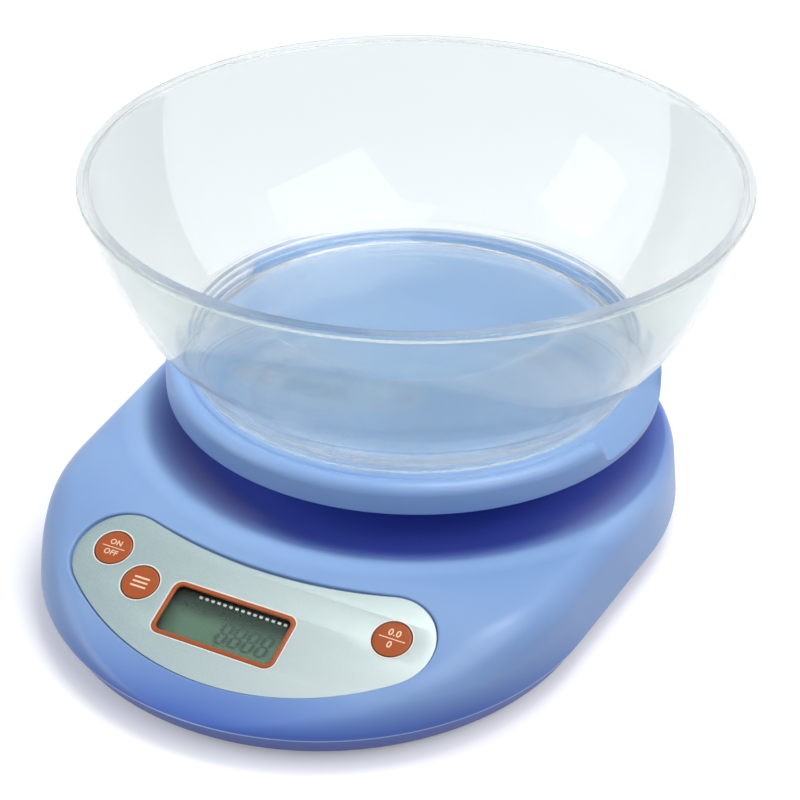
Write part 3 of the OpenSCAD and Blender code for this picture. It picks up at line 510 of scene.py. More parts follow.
@dataclass(frozen=True)
class CellWrap(Finish):
    """Wrapped battery cell: dark sleeve, copper band at the raised contact, bare metal ends."""
    name: str
    side: float
    middle: float

    def inputs(self, w: Wiring) -> dict:
        """Bands along X, with rubs that break the gloss of sleeve and ends."""
        rubs = w.group(EFFECTS.rubs, {"Across": 1500.0, "Along": 200.0, "Depth": 0.04})
        along = w.math("MULTIPLY", w.math("SUBTRACT", w.axes()[0], self.middle), self.side)
        copper = w.span(along, 0.0088, 0.0091)
        bare = w.span(w.math("ABSOLUTE", along, 0.0), 0.0209, 0.0211)
        sleeve = w.mix(copper, linear(36, 38, 42), linear(196, 128, 74))
        tone = w.mix(bare, sleeve, linear(206, 208, 212))
        worn = w.math("MULTIPLY", rubs["Mask"], 0.15)
        return {"Base Color": w.mix(worn, tone, linear(90, 90, 92)), "Normal": rubs["Normal"],
                "Roughness": w.span(rubs["Mask"], 0.0, 1.0, 0.28, 0.42),
                "Metallic": w.math("MAXIMUM", w.math("MULTIPLY", copper, 0.5), bare)}


@dataclass(frozen=True)
class ClearPlastic(Finish):
    """Clear plastic that light passes through; the body is its Alpha, less for shadow rays."""
    name: str
    tint: tuple
    gloss: float
    haze: float
    index: float
    body: float = 0.7
    shade_left: float = 0.2

    def inputs(self, w: Wiring) -> dict:
        """Faint waviness of the moulding and small rubs in the gloss."""
        where, tint = w.place(), linear(*self.tint)
        bright = (*(min(1.0, c * 1.01) for c in tint[:3]), 1.0)
        shadow = w.add("LightPath").outputs["Is Shadow Ray"]
        patch = w.noise(where, 42.0, 3.0, 0.6)
        return {"Transmission Weight": 1.0, "IOR": self.index, "Metallic": 0.0,
                "Specular IOR Level": 0.2,
                "Alpha": w.span(shadow, 0.0, 1.0, self.body, self.shade_left),
                "Roughness": w.span(patch, 0.35, 0.75, self.gloss, self.gloss + self.haze),
                "Normal": w.bump(w.noise(where, 26.0, 1.0), 0.02, 0.0004),
                "Base Color": w.mix(w.span(w.noise(where, 12.0), 0.3, 0.7), tint, bright)}


@dataclass(frozen=True)
class PrintedInk(Finish):
    """Pad-printed ink with slightly broken edges."""
    name: str
    colour: tuple
    deep: tuple
    gloss: float = 0.5

    def inputs(self, w: Wiring) -> dict:
        """Fine mottle in colour and gloss."""
        dots = w.noise(w.place(), 3800.0, 2.0, 0.7)
        share = w.span(dots, 0.4, 0.7)
        return {"Base Color": w.mix(share, linear(*self.colour), linear(*self.deep)),
                "Roughness": w.span(dots, 0.3, 0.8, self.gloss, self.gloss + 0.2)}


@dataclass(frozen=True)
class SilverPanel(Finish):
    """Silver-painted sheet: metal flakes in lacquer, with painted shade, cooler and darker towards
    the left.
    """
    name: str = "silver_panel"

    def inputs(self, w: Wiring) -> dict:
        """Flakes from fine cells tilt the gloss; a slow change along X paints shade, darker to the
        left.
        """
        # Painted shade across the sheet: darker and cooler towards the left.
        painted_shade_ramp = w.span(w.axes()[0], -0.062, 0.058, kind="SMOOTHSTEP")
        tone = w.mix(painted_shade_ramp, linear(140, 163, 164), linear(188, 201, 200))
        cells = w.add("TexVoronoi", {"Vector": w.place(), "Scale": 5200.0})
        spark = w.add("SeparateColor", {0: cells.outputs["Color"]}).outputs[0]
        flakes = w.mix(w.span(spark, 0.0, 1.0, 0.0, 0.22), tone, linear(214, 222, 222))
        return {"Base Color": flakes, "Roughness": w.span(spark, 0.0, 1.0, 0.34, 0.48),
                "Normal": w.bump(spark, 0.05, 0.00005), "Metallic": 0.35,
                "Coat Weight": 0.25, "Coat Roughness": 0.2}


@dataclass(frozen=True)
class DisplayFace(Finish):
    """Reflective display cell: grey-green with a faint mottle, and painted shade at the far and the
    left edge.
    """
    name: str = "display_face"

    def inputs(self, w: Wiring) -> dict:
        """Ramps paint shade on the far and the left edge; fine noise breaks the flat tone."""
        x, y, _ = w.axes()
        # Painted shade from the depth of the frame, along the far and the left edge.
        far = w.math("MULTIPLY", w.span(y, -0.1185, -0.1130, kind="SMOOTHSTEP"), 0.85)
        left = w.span(x, -0.024, -0.014, 0.6, 0.0, kind="SMOOTHSTEP")
        mottle = w.span(w.noise(w.place(), 420.0, 3.0, 0.6), 0.3, 0.7, 0.0, 0.12)
        green = w.mix(mottle, linear(78, 103, 87), linear(64, 87, 75))
        return {"Base Color": w.mix(w.math("MAXIMUM", far, left), green, linear(26, 34, 34)),
                "Roughness": w.span(mottle, 0.0, 0.12, 0.25, 0.4), "Specular IOR Level": 0.3}


BLUES = ((126, 158, 202), (107, 141, 198))
BODY_BLUE = MouldedPlastic("body_blue", *BLUES, gloss=0.36, under=0.12, depth=0.07)
# The top cover's plastic carries painted shade and painted highlights.
COVER_BLUE = CoverPlastic("cover_blue", *BLUES, gloss=0.36, under=0.12, depth=0.07)
BASE_BLUE = MouldedPlastic("base_blue", (92, 112, 186), (80, 98, 172), gloss=0.42)
ORANGE = MouldedPlastic("orange_plastic", (164, 72, 8), (148, 64, 6), gloss=0.34, depth=0.05)
RUBBER = MouldedPlastic("foot_rubber", (52, 54, 58), (38, 40, 44), gloss=0.72, depth=0.3,
                        fineness=1800.0)
WHITE_PLASTIC = MouldedPlastic("inner_plastic", (226, 226, 220), (208, 208, 200))
CONTACT_RUBBER = MouldedPlastic("contact_rubber", (60, 60, 66), (40, 40, 44), gloss=0.6)
BOARD_GREEN = MouldedPlastic("board", (38, 98, 62), (24, 74, 46), gloss=0.35)
CHIP_DARK = MouldedPlastic("board_parts", (44, 45, 48), (28, 29, 32), gloss=0.45)
POTTING = MouldedPlastic("potting", (232, 230, 220), (214, 210, 196), gloss=0.3)
JACKET = MouldedPlastic("lead_jacket", (170, 36, 32), (140, 26, 24), gloss=0.4)
STEEL = Metal("plated_steel", (196, 198, 202), (150, 152, 158))
SWITCH = Metal("switch_metal", (190, 190, 192), (120, 120, 124), gloss=0.4)
ALUMINIUM = Metal("cell_aluminium", (212, 214, 218), (170, 172, 178), across=1400.0)
CELL_A = CellWrap("cell_a", 1.0, 0.00235)
CELL_B = CellWrap("cell_b", -1.0, -0.00235)
CLEAR_BOWL = ClearPlastic("clear_bowl", (223, 232, 230), gloss=0.02, haze=0.03, index=1.33)
CLEAR_LENS = ClearPlastic("clear_lens", (240, 246, 244), gloss=0.0, haze=0.02, index=1.2)
MARK_INK = PrintedInk("pale_ink", (240, 214, 186), (224, 184, 148))
SEGMENT_INK = PrintedInk("segment_ink", (42, 62, 58), (36, 54, 50), gloss=0.4)
DOT_INK = PrintedInk("dot_ink", (228, 234, 230), (196, 204, 200))
HALO_INK = PrintedInk("halo_ink", (232, 230, 220), (214, 212, 204))
SILVER = SilverPanel()
DISPLAY = DisplayFace()


# Housing form

def rounded_box(w: float, l: float, r: float, x: float = 0.0, y: float = 0.0) -> np.ndarray:
    """Closed line round a rectangle with corners of radius r, centred on x and y."""
    corners = [(w / 2 - r, l / 2 - r, 0), (r - w / 2, l / 2 - r, 90),
               (r - w / 2, r - l / 2, 180), (w / 2 - r, r - l / 2, 270)]
    return np.concatenate([arc((x + cx, y + cy), r, a, a + 90, 8) for cx, cy, a in corners])


@dataclass
class Panel:
    """The sloping control panel: its own frame, outline and openings.

    Its frame has x as the scale has, v up the slope and out square to the slope. Low and top
    are the v at which the lower and the upper long arc of its outline cross its middle.
    """
    slope: float = 19.8
    forward: float = 112.8
    height: float = 22.6
    lobe_x: float = 44.0
    lobe_v: float = 5.0
    lobe_r: float = 14.7
    low: float = -25.4
    top: float = 14.1
    frame_x: float = -2.7
    frame_v: float = -6.0
    frame_w: float = 40.5
    frame_l: float = 18.2
    band: float = 1.3
    keys: tuple = ((-47.3, 6.7), (-33.3, -1.5), (45.7, 6.2))
    key_r: float = 5.7

    def __post_init__(self) -> None:
        """Radii and centres of the two long arcs, from where they touch the lobes."""
        lx, lv, lr = self.lobe_x, self.lobe_v, self.lobe_r
        self.low_c = ((self.low + lr) ** 2 - lx ** 2 - lv ** 2) / (2 * (self.low + lr - lv))
        self.low_r = self.low_c - self.low
        self.top_r = (lx ** 2 + (self.top - lv) ** 2 - lr ** 2) / (2 * (lr - self.top + lv))
        self.top_c = self.top + self.top_r
        self.sin, self.cos = math.sin(math.radians(self.slope)), math.cos(math.radians(self.slope))

    def matrix(self, x: float = 0.0, v: float = 0.0, out: float = 0.0) -> Matrix:
        """Places a flat piece, made in metres, at x, v and out (mm) of the panel."""
        turn = Matrix.Rotation(math.radians(self.slope), 4, "X")
        origin = Matrix.Translation((0, -self.forward * MM, self.height * MM))
        return origin @ turn @ Matrix.Translation((x * MM, v * MM, out * MM))

    def to_scale(self, x: np.ndarray, v: np.ndarray, out: np.ndarray) -> np.ndarray:
        """Points of the panel frame in the frame of the scale: turned about X, then moved."""
        return np.stack([x + 0 * v, -self.forward + v * self.cos - out * self.sin,
                         self.height + v * self.sin + out * self.cos], -1)

    def inside(self, x: np.ndarray, v: np.ndarray, g: float) -> np.ndarray:
        """Below zero inside the outline grown by g: two lobes joined by the two long arcs."""
        lobes = np.hypot(np.abs(x) - self.lobe_x, v - self.lobe_v) - self.lobe_r - g
        under = np.hypot(x, v - self.low_c) - self.low_r - g
        over = self.top_r - g - np.hypot(x, v - self.top_c)
        centre = np.where(v < self.lobe_v, self.low_c, self.top_c)
        lean = (self.lobe_v - v) * self.lobe_x / (centre - self.lobe_v)
        middle = np.maximum(np.maximum(under, over), np.abs(x) - self.lobe_x - lean)
        return np.minimum(lobes, middle)

    def reach(self, cx: np.ndarray, dx: np.ndarray, dv: np.ndarray, g: float) -> np.ndarray:
        """How far from (cx, lobe_v) along (dx, dv) the grown outline lies, by halving a span."""
        near, far = np.zeros_like(cx), np.full_like(cx, 60.0)
        for _ in range(40):
            mid = (near + far) / 2
            within = self.inside(cx + dx * mid, self.lobe_v + dv * mid, g) < 0
            near, far = np.where(within, mid, near), np.where(within, far, mid)
        return (near + far) / 2

    def outline(self, parts: int = 40) -> np.ndarray:
        """The outline as one closed line: lower arc, right lobe, upper arc, left lobe."""
        low = math.degrees(math.atan2(self.lobe_v - self.low_c, self.lobe_x))
        top = math.degrees(math.atan2(self.top_c - self.lobe_v, -self.lobe_x))
        pieces = [arc((0, self.low_c), self.low_r, -180 - low, low, 2 * parts),
                  arc((self.lobe_x, self.lobe_v), self.lobe_r, low, top, parts),
                  arc((0, self.top_c), self.top_r, top - 180, -top, 2 * parts),
                  arc((-self.lobe_x, self.lobe_v), self.lobe_r, 180 - top, 180 - low, parts)]
        return np.concatenate([piece[:-1] for piece in pieces])

    def window(self, grow: float, r: float) -> np.ndarray:
        """Line round the display frame, its width and length grown by grow, corners of r."""
        return rounded_box(self.frame_w + grow, self.frame_l + grow, r, self.frame_x, self.frame_v)

    def key_rings(self, grow: float) -> list:
        """Circles round the three keys, their radius grown by grow."""
        return [arc(key, self.key_r + grow, 0, 360, 64)[:-1] for key in self.keys]


@dataclass
class TopCover:
    """Moulded top cover: leaning wall, soft edge, sloping front, dish under the tray and recess.

    Rear and front are the y and the radius of the two arcs of its outline.
    """
    panel: Panel
    rear: tuple = (-11.0, 91.2)
    front: tuple = (-61.0, 87.7)
    around: int = 420
    drop_from: float = -78.0
    drop_run: float = 34.0
    soft_from: float = -80.0
    soft_run: float = 40.0
    seam_z: float = 9.6
    cap_z: float = 30.6
    draft: float = 1.6 / 13.5
    edge_r: float = 7.5
    front_more: float = 1.2
    dish_z: float = 22.0
    bend_at: float = 66.15
    bend_r: float = 20.0
    dish_rise: float = 25.0
    floor_in: float = 42.0
    floor_out: float = 66.0
    collar_in: float = 35.5
    collar_out: float = 37.5
    collar_low: float = 19.0
    collar_top: float = 26.0
    crest: float = 1.5
    blend_r: float = 60.0
    proud: float = 1.2
    disc_y: float = -71.0
    disc_r: float = 88.5
    disc_e: float = 10.0
    lip_r: float = 0.7
    recess_gap: float = 0.5
    recess_out: float = -0.62
    wall_t: float = 2.0
    divide_r: float = 94.0
    screws: tuple = ((-70, -30), (70, -30), (-67, -90), (67, -90), (-48, 34), (48, 34), (0, -78))
    boss_r: float = 3.5
    bore_r: float = 1.38
    boss_low: float = 9.0

    def rim_drop(self, x: np.ndarray, y: np.ndarray) -> np.ndarray:
        """How far the front rim falls below the slope: the arc of a rounded disc lying on it."""
        v = (y - self.disc_y) / self.panel.cos
        past = np.clip(np.hypot(x, v) - (self.disc_r - self.disc_e), 0, 0.97 * self.disc_e)
        drop = self.disc_e - np.sqrt(self.disc_e ** 2 - past ** 2)
        return drop * smooth((self.drop_from - y) / self.drop_run)

    def cap(self, x: np.ndarray, y: np.ndarray) -> np.ndarray:
        """Height of the top before its side edge: level, one large arc, slope, front rim."""
        p = self.panel
        tan, half = p.sin / p.cos, math.tan(math.radians(p.slope / 2))
        face_y, face_z = -p.forward - self.proud * p.sin, p.height + self.proud * p.cos
        knee = face_y + (self.cap_z - face_z) / tan
        level, low = knee + self.blend_r * half, knee - self.blend_r * half * p.cos
        down = np.sqrt(np.maximum(self.blend_r ** 2 - (y - level) ** 2, 0))
        drop = self.rim_drop(x, y)
        slope = face_z + (y - face_y) * tan - drop
        bow = self.cap_z - self.blend_r + down - drop
        return np.where(y > level, self.cap_z, np.where(y > low, bow, slope))

    def dish(self, r: np.ndarray) -> np.ndarray:
        """Height of the dish: flat floor, arc, then a straight rise outwards."""
        a = math.radians(self.dish_rise)
        end = self.bend_at + self.bend_r * math.sin(a)
        down = np.sqrt(np.maximum(self.bend_r ** 2 - (r - self.bend_at) ** 2, 1e-9))
        bow = self.dish_z + self.bend_r - down
        rise = self.dish_z + self.bend_r * (1 - math.cos(a)) + (r - end) * math.tan(a)
        return np.where(r < self.bend_at, self.dish_z, np.where(r < end, bow, rise))

    def top(self, x: np.ndarray, y: np.ndarray, drop: np.ndarray = 0.0) -> np.ndarray:
        """Height of the finished top: the lower of cap, less drop, and dish, rounded between.

        With h = 1/2 + (dish - cap) / (2 crest), held between 0 and 1, the height is
        dish + (cap - dish) h - crest h (1 - h).
        """
        cap, dish = self.cap(x, y) - drop, self.dish(np.hypot(x, y))
        h = np.clip(0.5 + (dish - cap) / (2 * self.crest), 0, 1)
        return dish + (cap - dish) * h - self.crest * h * (1 - h)

    def outline(self) -> tuple:
        """Points and outward directions spaced along the outline: two arcs and their tangents.

        Returns:
            Points and unit directions, from the front middle, anticlockwise from above.
        """
        (ry, rr), (fy, fr) = self.rear, self.front
        lean = math.asin((rr - fr) / (ry - fy))
        run = (ry - fy) * math.cos(lean)
        side = math.pi / 2 - lean
        lengths = np.cumsum([0, fr * side, run, rr * (2 * math.pi - 2 * side), run, fr * side])
        s = np.arange(self.around) * lengths[-1] / self.around
        part = np.searchsorted(lengths, s, side="right") - 1
        t = s - lengths[part]
        back = 2 * math.pi - side
        angle = np.choose(part, [t / fr, side + 0 * t, side + t / rr, back + 0 * t, back + t / fr])
        d = np.stack([np.sin(angle), -np.cos(angle)], 1)
        along = np.stack([np.cos(angle), np.sin(angle)], 1) * t[:, None]
        at_front, at_rear = np.array([0, fy]) + fr * d, np.array([0, ry]) + rr * d
        ends = [at_front, at_front + along, at_rear, at_rear + along, at_front]
        return np.choose(part[:, None], ends), d

    def edge_band(self, points: np.ndarray, out: np.ndarray) -> np.ndarray:
        """Wall and rounded edge: rows climb the leaning wall, then a quarter turn inwards.

        The turn puts a point at inset = draft (z - seam) + a (1 - cos t) and height
        top - b (1 - sin t), where a and b grow towards the front; both are settled in turns.

        Args:
            points: Points along the outline.
            out: Outward directions there.

        Returns:
            Grid of points, from inside the lower edge to the inner end of the rounding.
        """
        p, seam = self.panel, self.seam_z
        lobe_y, lobe_room = -108.5, 3.1
        soft = smooth((self.soft_from - points[:, 1]) / self.soft_run)
        near = points - 0.4 * out
        b = np.clip(self.cap(near[:, 0], near[:, 1]) - seam - 0.4, 0.25,
                    self.edge_r + self.front_more * soft)
        lobe = np.hypot(np.abs(points[:, 0]) - p.lobe_x, (points[:, 1] - lobe_y) / p.cos)
        a = ((b * (1 + 0.12 * soft)) ** -6 + (lobe - p.lobe_r - lobe_room) ** -6) ** (-1 / 6)
        t = np.linspace(0, np.pi / 2, 15)[:, None]
        inset = a * (1 - np.cos(t)) + 1.5
        least = seam + 0.32 + 0.02 * np.arange(len(t))[:, None]

        def set_in(depth: np.ndarray) -> np.ndarray:
            """Plan points that lie inwards of the outline by the depth of each row."""
            return points[None] - out[None] * depth[..., None]

        for _ in range(SETTLE_TURNS):
            xy = set_in(inset)
            z = np.maximum(self.top(xy[..., 0], xy[..., 1], b * (1 - np.sin(t))), least)
            inset = a * (1 - np.cos(t)) + self.draft * (z - seam)
        turned = np.concatenate([set_in(inset), z[..., None]], -1)
        low, high = seam + 0.25, np.maximum(turned[0, :, 2], seam + 0.3)
        wall_z = low + (high - low) * np.linspace(0, 1, 7)[:-1, None]
        wall = np.concatenate([set_in(self.draft * (wall_z - seam)), wall_z[..., None]], -1)
        foot = np.array([[1.4, 0.0], [0.5, 0.0], [0.22, 0.07], [0.06, 0.22]])
        foot_xy = set_in(foot[:, :1])
        foot_z = np.broadcast_to(seam + foot[:, 1:, None], (*foot_xy.shape[:2], 1))
        return np.concatenate([np.concatenate([foot_xy, foot_z], -1), wall, turned])

    def across(self, inner: np.ndarray, outer: np.ndarray, shares: np.ndarray) -> np.ndarray:
        """Rows of top points on straight plan lines from inner to outer, at the given shares."""
        xy = inner[None] + (outer - inner)[None] * shares[:, None, None]
        return np.concatenate([xy, self.top(xy[..., 0], xy[..., 1])[..., None]], -1)

    def dish_field(self, edge: np.ndarray) -> np.ndarray:
        """Dish side of the top: the collar, then straight lines out to the edge points.

        Args:
            edge: Closed ring of points that the field ends on.

        Returns:
            The grid, collar first.
        """
        angle = np.arctan2(edge[:, 1], edge[:, 0])
        ray = np.stack([np.cos(angle), np.sin(angle)], 1)
        profile = soften([(self.collar_in, self.collar_low, 0),
                          (self.collar_in, self.collar_top, 0.7),
                          (self.collar_out, self.collar_top, 0.7),
                          (self.collar_out, self.dish_z, 0.8), (self.floor_in, self.dish_z, 0)], 4)
        height = np.broadcast_to(profile[:, 1:, None], (len(profile), len(ray), 1))
        collar = np.concatenate([ray[None] * profile[:, :1, None], height], -1)
        start, end = ray * self.floor_in, ray * self.floor_out
        floor = self.across(start, end, np.array([0.35, 0.7]))
        rise = self.across(end, edge[:, :2], np.linspace(0, 1, 26))
        rise[-1] = edge
        return np.concatenate([collar, floor, rise])

    def panel_field(self, edge: np.ndarray) -> np.ndarray:
        """Panel side of the top: recess floor, recess wall, its lip, then out to the edge points.

        Each edge point looks at the nearest point of the line between the lobe centres; the
        ray between them crosses the grown outline where the recess begins.

        Args:
            edge: Closed ring of points that the field ends on.

        Returns:
            The grid, recess floor first.
        """
        p = self.panel
        x, v = edge[:, 0], (edge[:, 1] + p.forward + self.proud * p.sin) / p.cos
        cx = np.clip(x, -p.lobe_x, p.lobe_x)
        away = np.hypot(x - cx, v - p.lobe_v)
        dx, dv = (x - cx) / away, (v - p.lobe_v) / away

        def spot(g: float) -> tuple:
            """Point of each ray on the outline grown by g, and the cover's height there."""
            far = p.reach(cx, dx, dv, g)
            px, pv = cx + dx * far, p.lobe_v + dv * far
            out = np.full_like(px, self.proud)
            for _ in range(SETTLE_TURNS):
                q = p.to_scale(px, pv, out)
                out = out + (self.top(q[:, 0], q[:, 1]) - q[:, 2]) * p.cos
            return px, pv, out

        gap, floor, rows = self.recess_gap, self.recess_out, []
        for g, out in ((-2.2, floor), (gap - 0.2, floor), (gap, floor + 0.2)):
            px, pv, _ = spot(g)
            rows.append(p.to_scale(px, pv, np.full_like(px, out)))
        for t in np.linspace(0, np.pi / 2, 7):
            px, pv, out = spot(gap + self.lip_r * (1 - math.cos(t)))
            down = np.minimum(self.lip_r * (1 - math.sin(t)), out + 0.3)
            rows.append(p.to_scale(px, pv, out - down))
        spread = self.across(rows[-1][:, :2], edge[:, :2], np.linspace(0, 1, 20) ** 1.35)
        spread[-1] = edge
        return np.concatenate([np.array(rows), spread[1:]])

    def build(self) -> None:
        """Makes the cover from its edge band and two fields that meet along an arc, then bosses."""
        band = self.edge_band(*self.outline())
        inner = band[-1]
        radius = np.hypot(inner[:, 0], inner[:, 1])
        half = self.around // 2
        behind = 100 * (inner[:half, 1] > -20)
        right = int(np.argmin(np.abs(radius[:half] - self.divide_r) + behind))
        left = self.around - right
        start, end = (math.atan2(inner[i, 1], inner[i, 0]) + 2 * math.pi for i in (left, right))
        share = np.linspace(0, 1, 121)
        angle = start + (end - start) * share
        reach = radius[left] + (self.divide_r - radius[left]) * np.sin(np.pi * share) ** 0.5
        x, y = reach * np.cos(angle), reach * np.sin(angle)
        divide = np.stack([x, y, self.top(x, y)], 1)
        divide[0], divide[-1] = inner[left], inner[right]
        rear_ring = np.concatenate([inner[right:left], divide[:-1]])
        front_ring = np.concatenate([inner[left:], inner[:right], divide[:0:-1]])
        grids = [band, self.dish_field(rear_ring), self.panel_field(front_ring)]
        cover = make_piece("top_cover_skin", grids, Body.HOUSING, 50.0)
        if sum(f.normal.z * f.area for f in cover.data.polygons) < 0:
            cover.data.flip_normals()
        self.thin_edges(cover)
        shell = cover.modifiers.new("wall", "SOLIDIFY")
        shell.thickness, shell.offset, shell.vertex_group = self.wall_t * MM, -1, "wall_share"
        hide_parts("top_cover")
        COVER_BLUE.dress(cover, "body_blue")
        self.build_bosses()

    def thin_edges(self, cover: bpy.types.Object) -> None:
        """Vertex weights that thin the wall to 0.4 of the room under the top where that is low."""
        levels = 40
        co = np.empty(len(cover.data.vertices) * 3)
        cover.data.vertices.foreach_get("co", co)
        x, y, z = co.reshape(-1, 3).T / MM
        room = np.maximum(np.minimum(self.top(x, y), z + 4) - self.seam_z, 0.1)
        room = np.minimum(room, self.cap(x * 0.985, y * 0.985) - self.seam_z)
        level = np.round(np.clip(0.4 * room / self.wall_t, 0.02, 1) * levels).astype(int)
        group = cover.vertex_groups.new(name="wall_share")
        for step in range(levels + 1):
            group.add(np.flatnonzero(level == step).tolist(), step / levels, "REPLACE")

    def build_bosses(self) -> None:
        """Screw bosses of the housing, as tubes with a bore that end under the cover's skin."""
        grids = []
        r, bore, low = self.boss_r, self.bore_r, self.boss_low
        turn = np.arange(24) * np.pi / 12
        for x, y in self.screws:
            top = float(self.top(x + r * np.cos(turn), y + r * np.sin(turn)).min()) - 1.2
            well = np.array([[0, top - 4.0], [bore, top - 4.0], [bore, low]])
            tube = soften([(bore, low, 0), (r, low, 0.3), (r, top, 0), (0, top, 0)], 3)
            grids.append(lathe(np.concatenate([well, tube[1:]]), 32, (x, y)))
        BODY_BLUE.dress(make_piece("cover_bosses", grids, Body.HOUSING, 35.0), "body_blue")


@dataclass
class Tray:
    """Weighing tray: flat seat, round bead, falling rim with two finger notches, skirt, ribs."""
    radius: float = 80.0
    cols: int = 360
    seat: float = 50.0
    under: float = 47.4
    edge: float = 41.5
    notch_half: float = 17.5
    notch_soft: float = 2.2
    notch_r: float = 71.0
    notch_low: float = 42.7
    skirt_r: float = 42.0
    skirt_low: float = 28.0
    bead: tuple = (76.3, 47.0)
    bead_r: float = 3.7
    ribs: int = 12
    rib_r: float = 57.0
    rib_size: tuple = (30.0, 1.4, 3.4)

    def rim(self) -> np.ndarray:
        """Upper profile from the middle over the bead to the lower edge and back underneath."""
        seat, under, edge, r = self.seat, self.under, self.edge, self.radius
        bead = arc(self.bead, self.bead_r, 128, 12, 18)
        start = soften([(0, seat, 0), (40, seat, 0), (70, seat, 0), (72.9, seat, 0.3),
                        (73.6, seat - 0.55, 0.25), (74.0, seat - 0.4, 0.1), (*bead[0], 0)], 5)
        low = soften([(*bead[-1], 0), (r, 42.3, 0.6), (r, edge, 0.35), (78.0, edge, 0.3),
                      (75.0, under, 0.8), (self.skirt_r, under, 0)], 4)
        return np.concatenate([start, bead[1:], low[1:]])

    def notched(self, profile: np.ndarray) -> np.ndarray:
        """The profile with the height of its upper side held below the notch's slanted plane."""
        r, z = profile[:, 0], profile[:, 1].copy()
        plane = self.seat - (r - self.notch_r) * (self.seat - self.notch_low) / 10.0
        plane = np.where(r < self.notch_r, self.seat, plane)
        peak = int(np.argmax(r >= self.radius - 1e-6))
        upper = np.arange(len(r)) < peak + 6
        z = np.where(upper & (z > plane), plane, z)
        under = ~upper & (r > 66) & (z > self.edge + 0.2)
        z = np.where(under, np.minimum(z, plane - 1.9), z)
        return np.stack([r, z], 1)

    def build(self) -> None:
        """Makes the tray: at each angle the profile is mixed from the full rim and the notch."""
        full = self.rim()
        a = np.arange(self.cols) * 2 * np.pi / self.cols
        off = np.abs((np.degrees(a) + 90) % 180 - 90)
        w = smooth((self.notch_half + self.notch_soft / 2 - off) / self.notch_soft)[None, :, None]
        mixed = full[:, None] * (1 - w) + self.notched(full)[:, None] * w
        r, z = mixed[..., 0], mixed[..., 1]
        top = np.stack([r * np.cos(a), r * np.sin(a), z], -1)
        under, low = self.under, self.skirt_low
        outer, inner = self.skirt_r - 0.2, self.skirt_r - 2.0
        skirt = soften([(self.skirt_r, under, 0), (outer, under, 0), (outer, low, 0.4),
                        (inner, low, 0.4), (inner, under, 0.3), (0, under, 0)], 3)
        tray = make_piece("tray_skin", [top, lathe(skirt, self.cols)], Body.PLATFORM, 38.0)
        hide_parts("tray")
        BODY_BLUE.dress(tray, "body_blue")
        spokes = np.radians((np.arange(self.ribs) + 0.5) * 360 / self.ribs)
        grids = [block((self.rib_r * np.cos(t), self.rib_r * np.sin(t), under - 1.6),
                       self.rib_size, t) for t in spokes]
        BODY_BLUE.dress(make_piece("tray_ribs", grids, Body.PLATFORM, 30.0), "body_blue")


@dataclass
class Bowl:
    """Clear bowl: ball-shaped wall on a stepped foot, flat lip, turned from a closed profile."""
    ball_r: float = 101.6
    wall: float = 2.0
    ball_z: float = 126.03
    floor_z: float = 53.3
    foot_z: float = 50.3
    lip_r: float = 103.06
    top_z: float = 115.5
    step: float = 2.4

    def ball(self, radius: float, low: float, high: float, count: int) -> np.ndarray:
        """Radius and height of points on the ball between two heights."""
        z = np.linspace(low, high, count)
        return np.stack([np.sqrt(radius ** 2 - (self.ball_z - z) ** 2), z], 1)

    def profile(self) -> np.ndarray:
        """Closed profile: floor outwards, up the inside, over the lip, down outside to the foot."""
        top, floor, foot, step = self.top_z, self.floor_z, self.foot_z, self.step
        inside = self.ball(self.ball_r - self.wall, 62.5, top - 0.5, 40)
        outside = self.ball(self.ball_r, top - 2.6, 57.9, 44)
        base = soften([(0, floor, 0), (40, floor, 0), (65.2, floor, 1.5), (67.2, floor + 1.2, 1.5),
                       (*inside[0], 0)], 6)
        lip = soften([(*inside[-1], 0), (inside[-1, 0] + 0.15, top, 0.3), (self.lip_r, top, 0.8),
                      (self.lip_r, top - 2.0, 0.55), (*(outside[0] + [0.25, 0.75]), 0.3),
                      (*outside[0], 0)], 5)
        steps = soften([(*outside[-1], 0), (73.9, foot + 3 * step, 0.25),
                        (73.4, foot + 3 * step - 0.2, 0.35), (73.4, foot + 2 * step, 0.5),
                        (72.6, foot + 2 * step, 0.3), (72.6, foot + step, 0.5),
                        (71.8, foot + step, 0.3), (71.8, foot, 0.7), (69.2, foot, 0.5),
                        (69.2, foot + 1.0, 0.4), (40, foot + 1.0, 0), (0, foot + 1.0, 0)], 4)
        return np.concatenate([base, inside[1:], lip[1:], outside[1:], steps[1:]])

    def build(self) -> None:
        """Turns the profile into the bowl."""
        bowl = make_piece("bowl_clear", [lathe(self.profile(), 288)], Body.BOWL, 60.0)
        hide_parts("bowl")
        CLEAR_BOWL.dress(bowl, "clear_bowl")


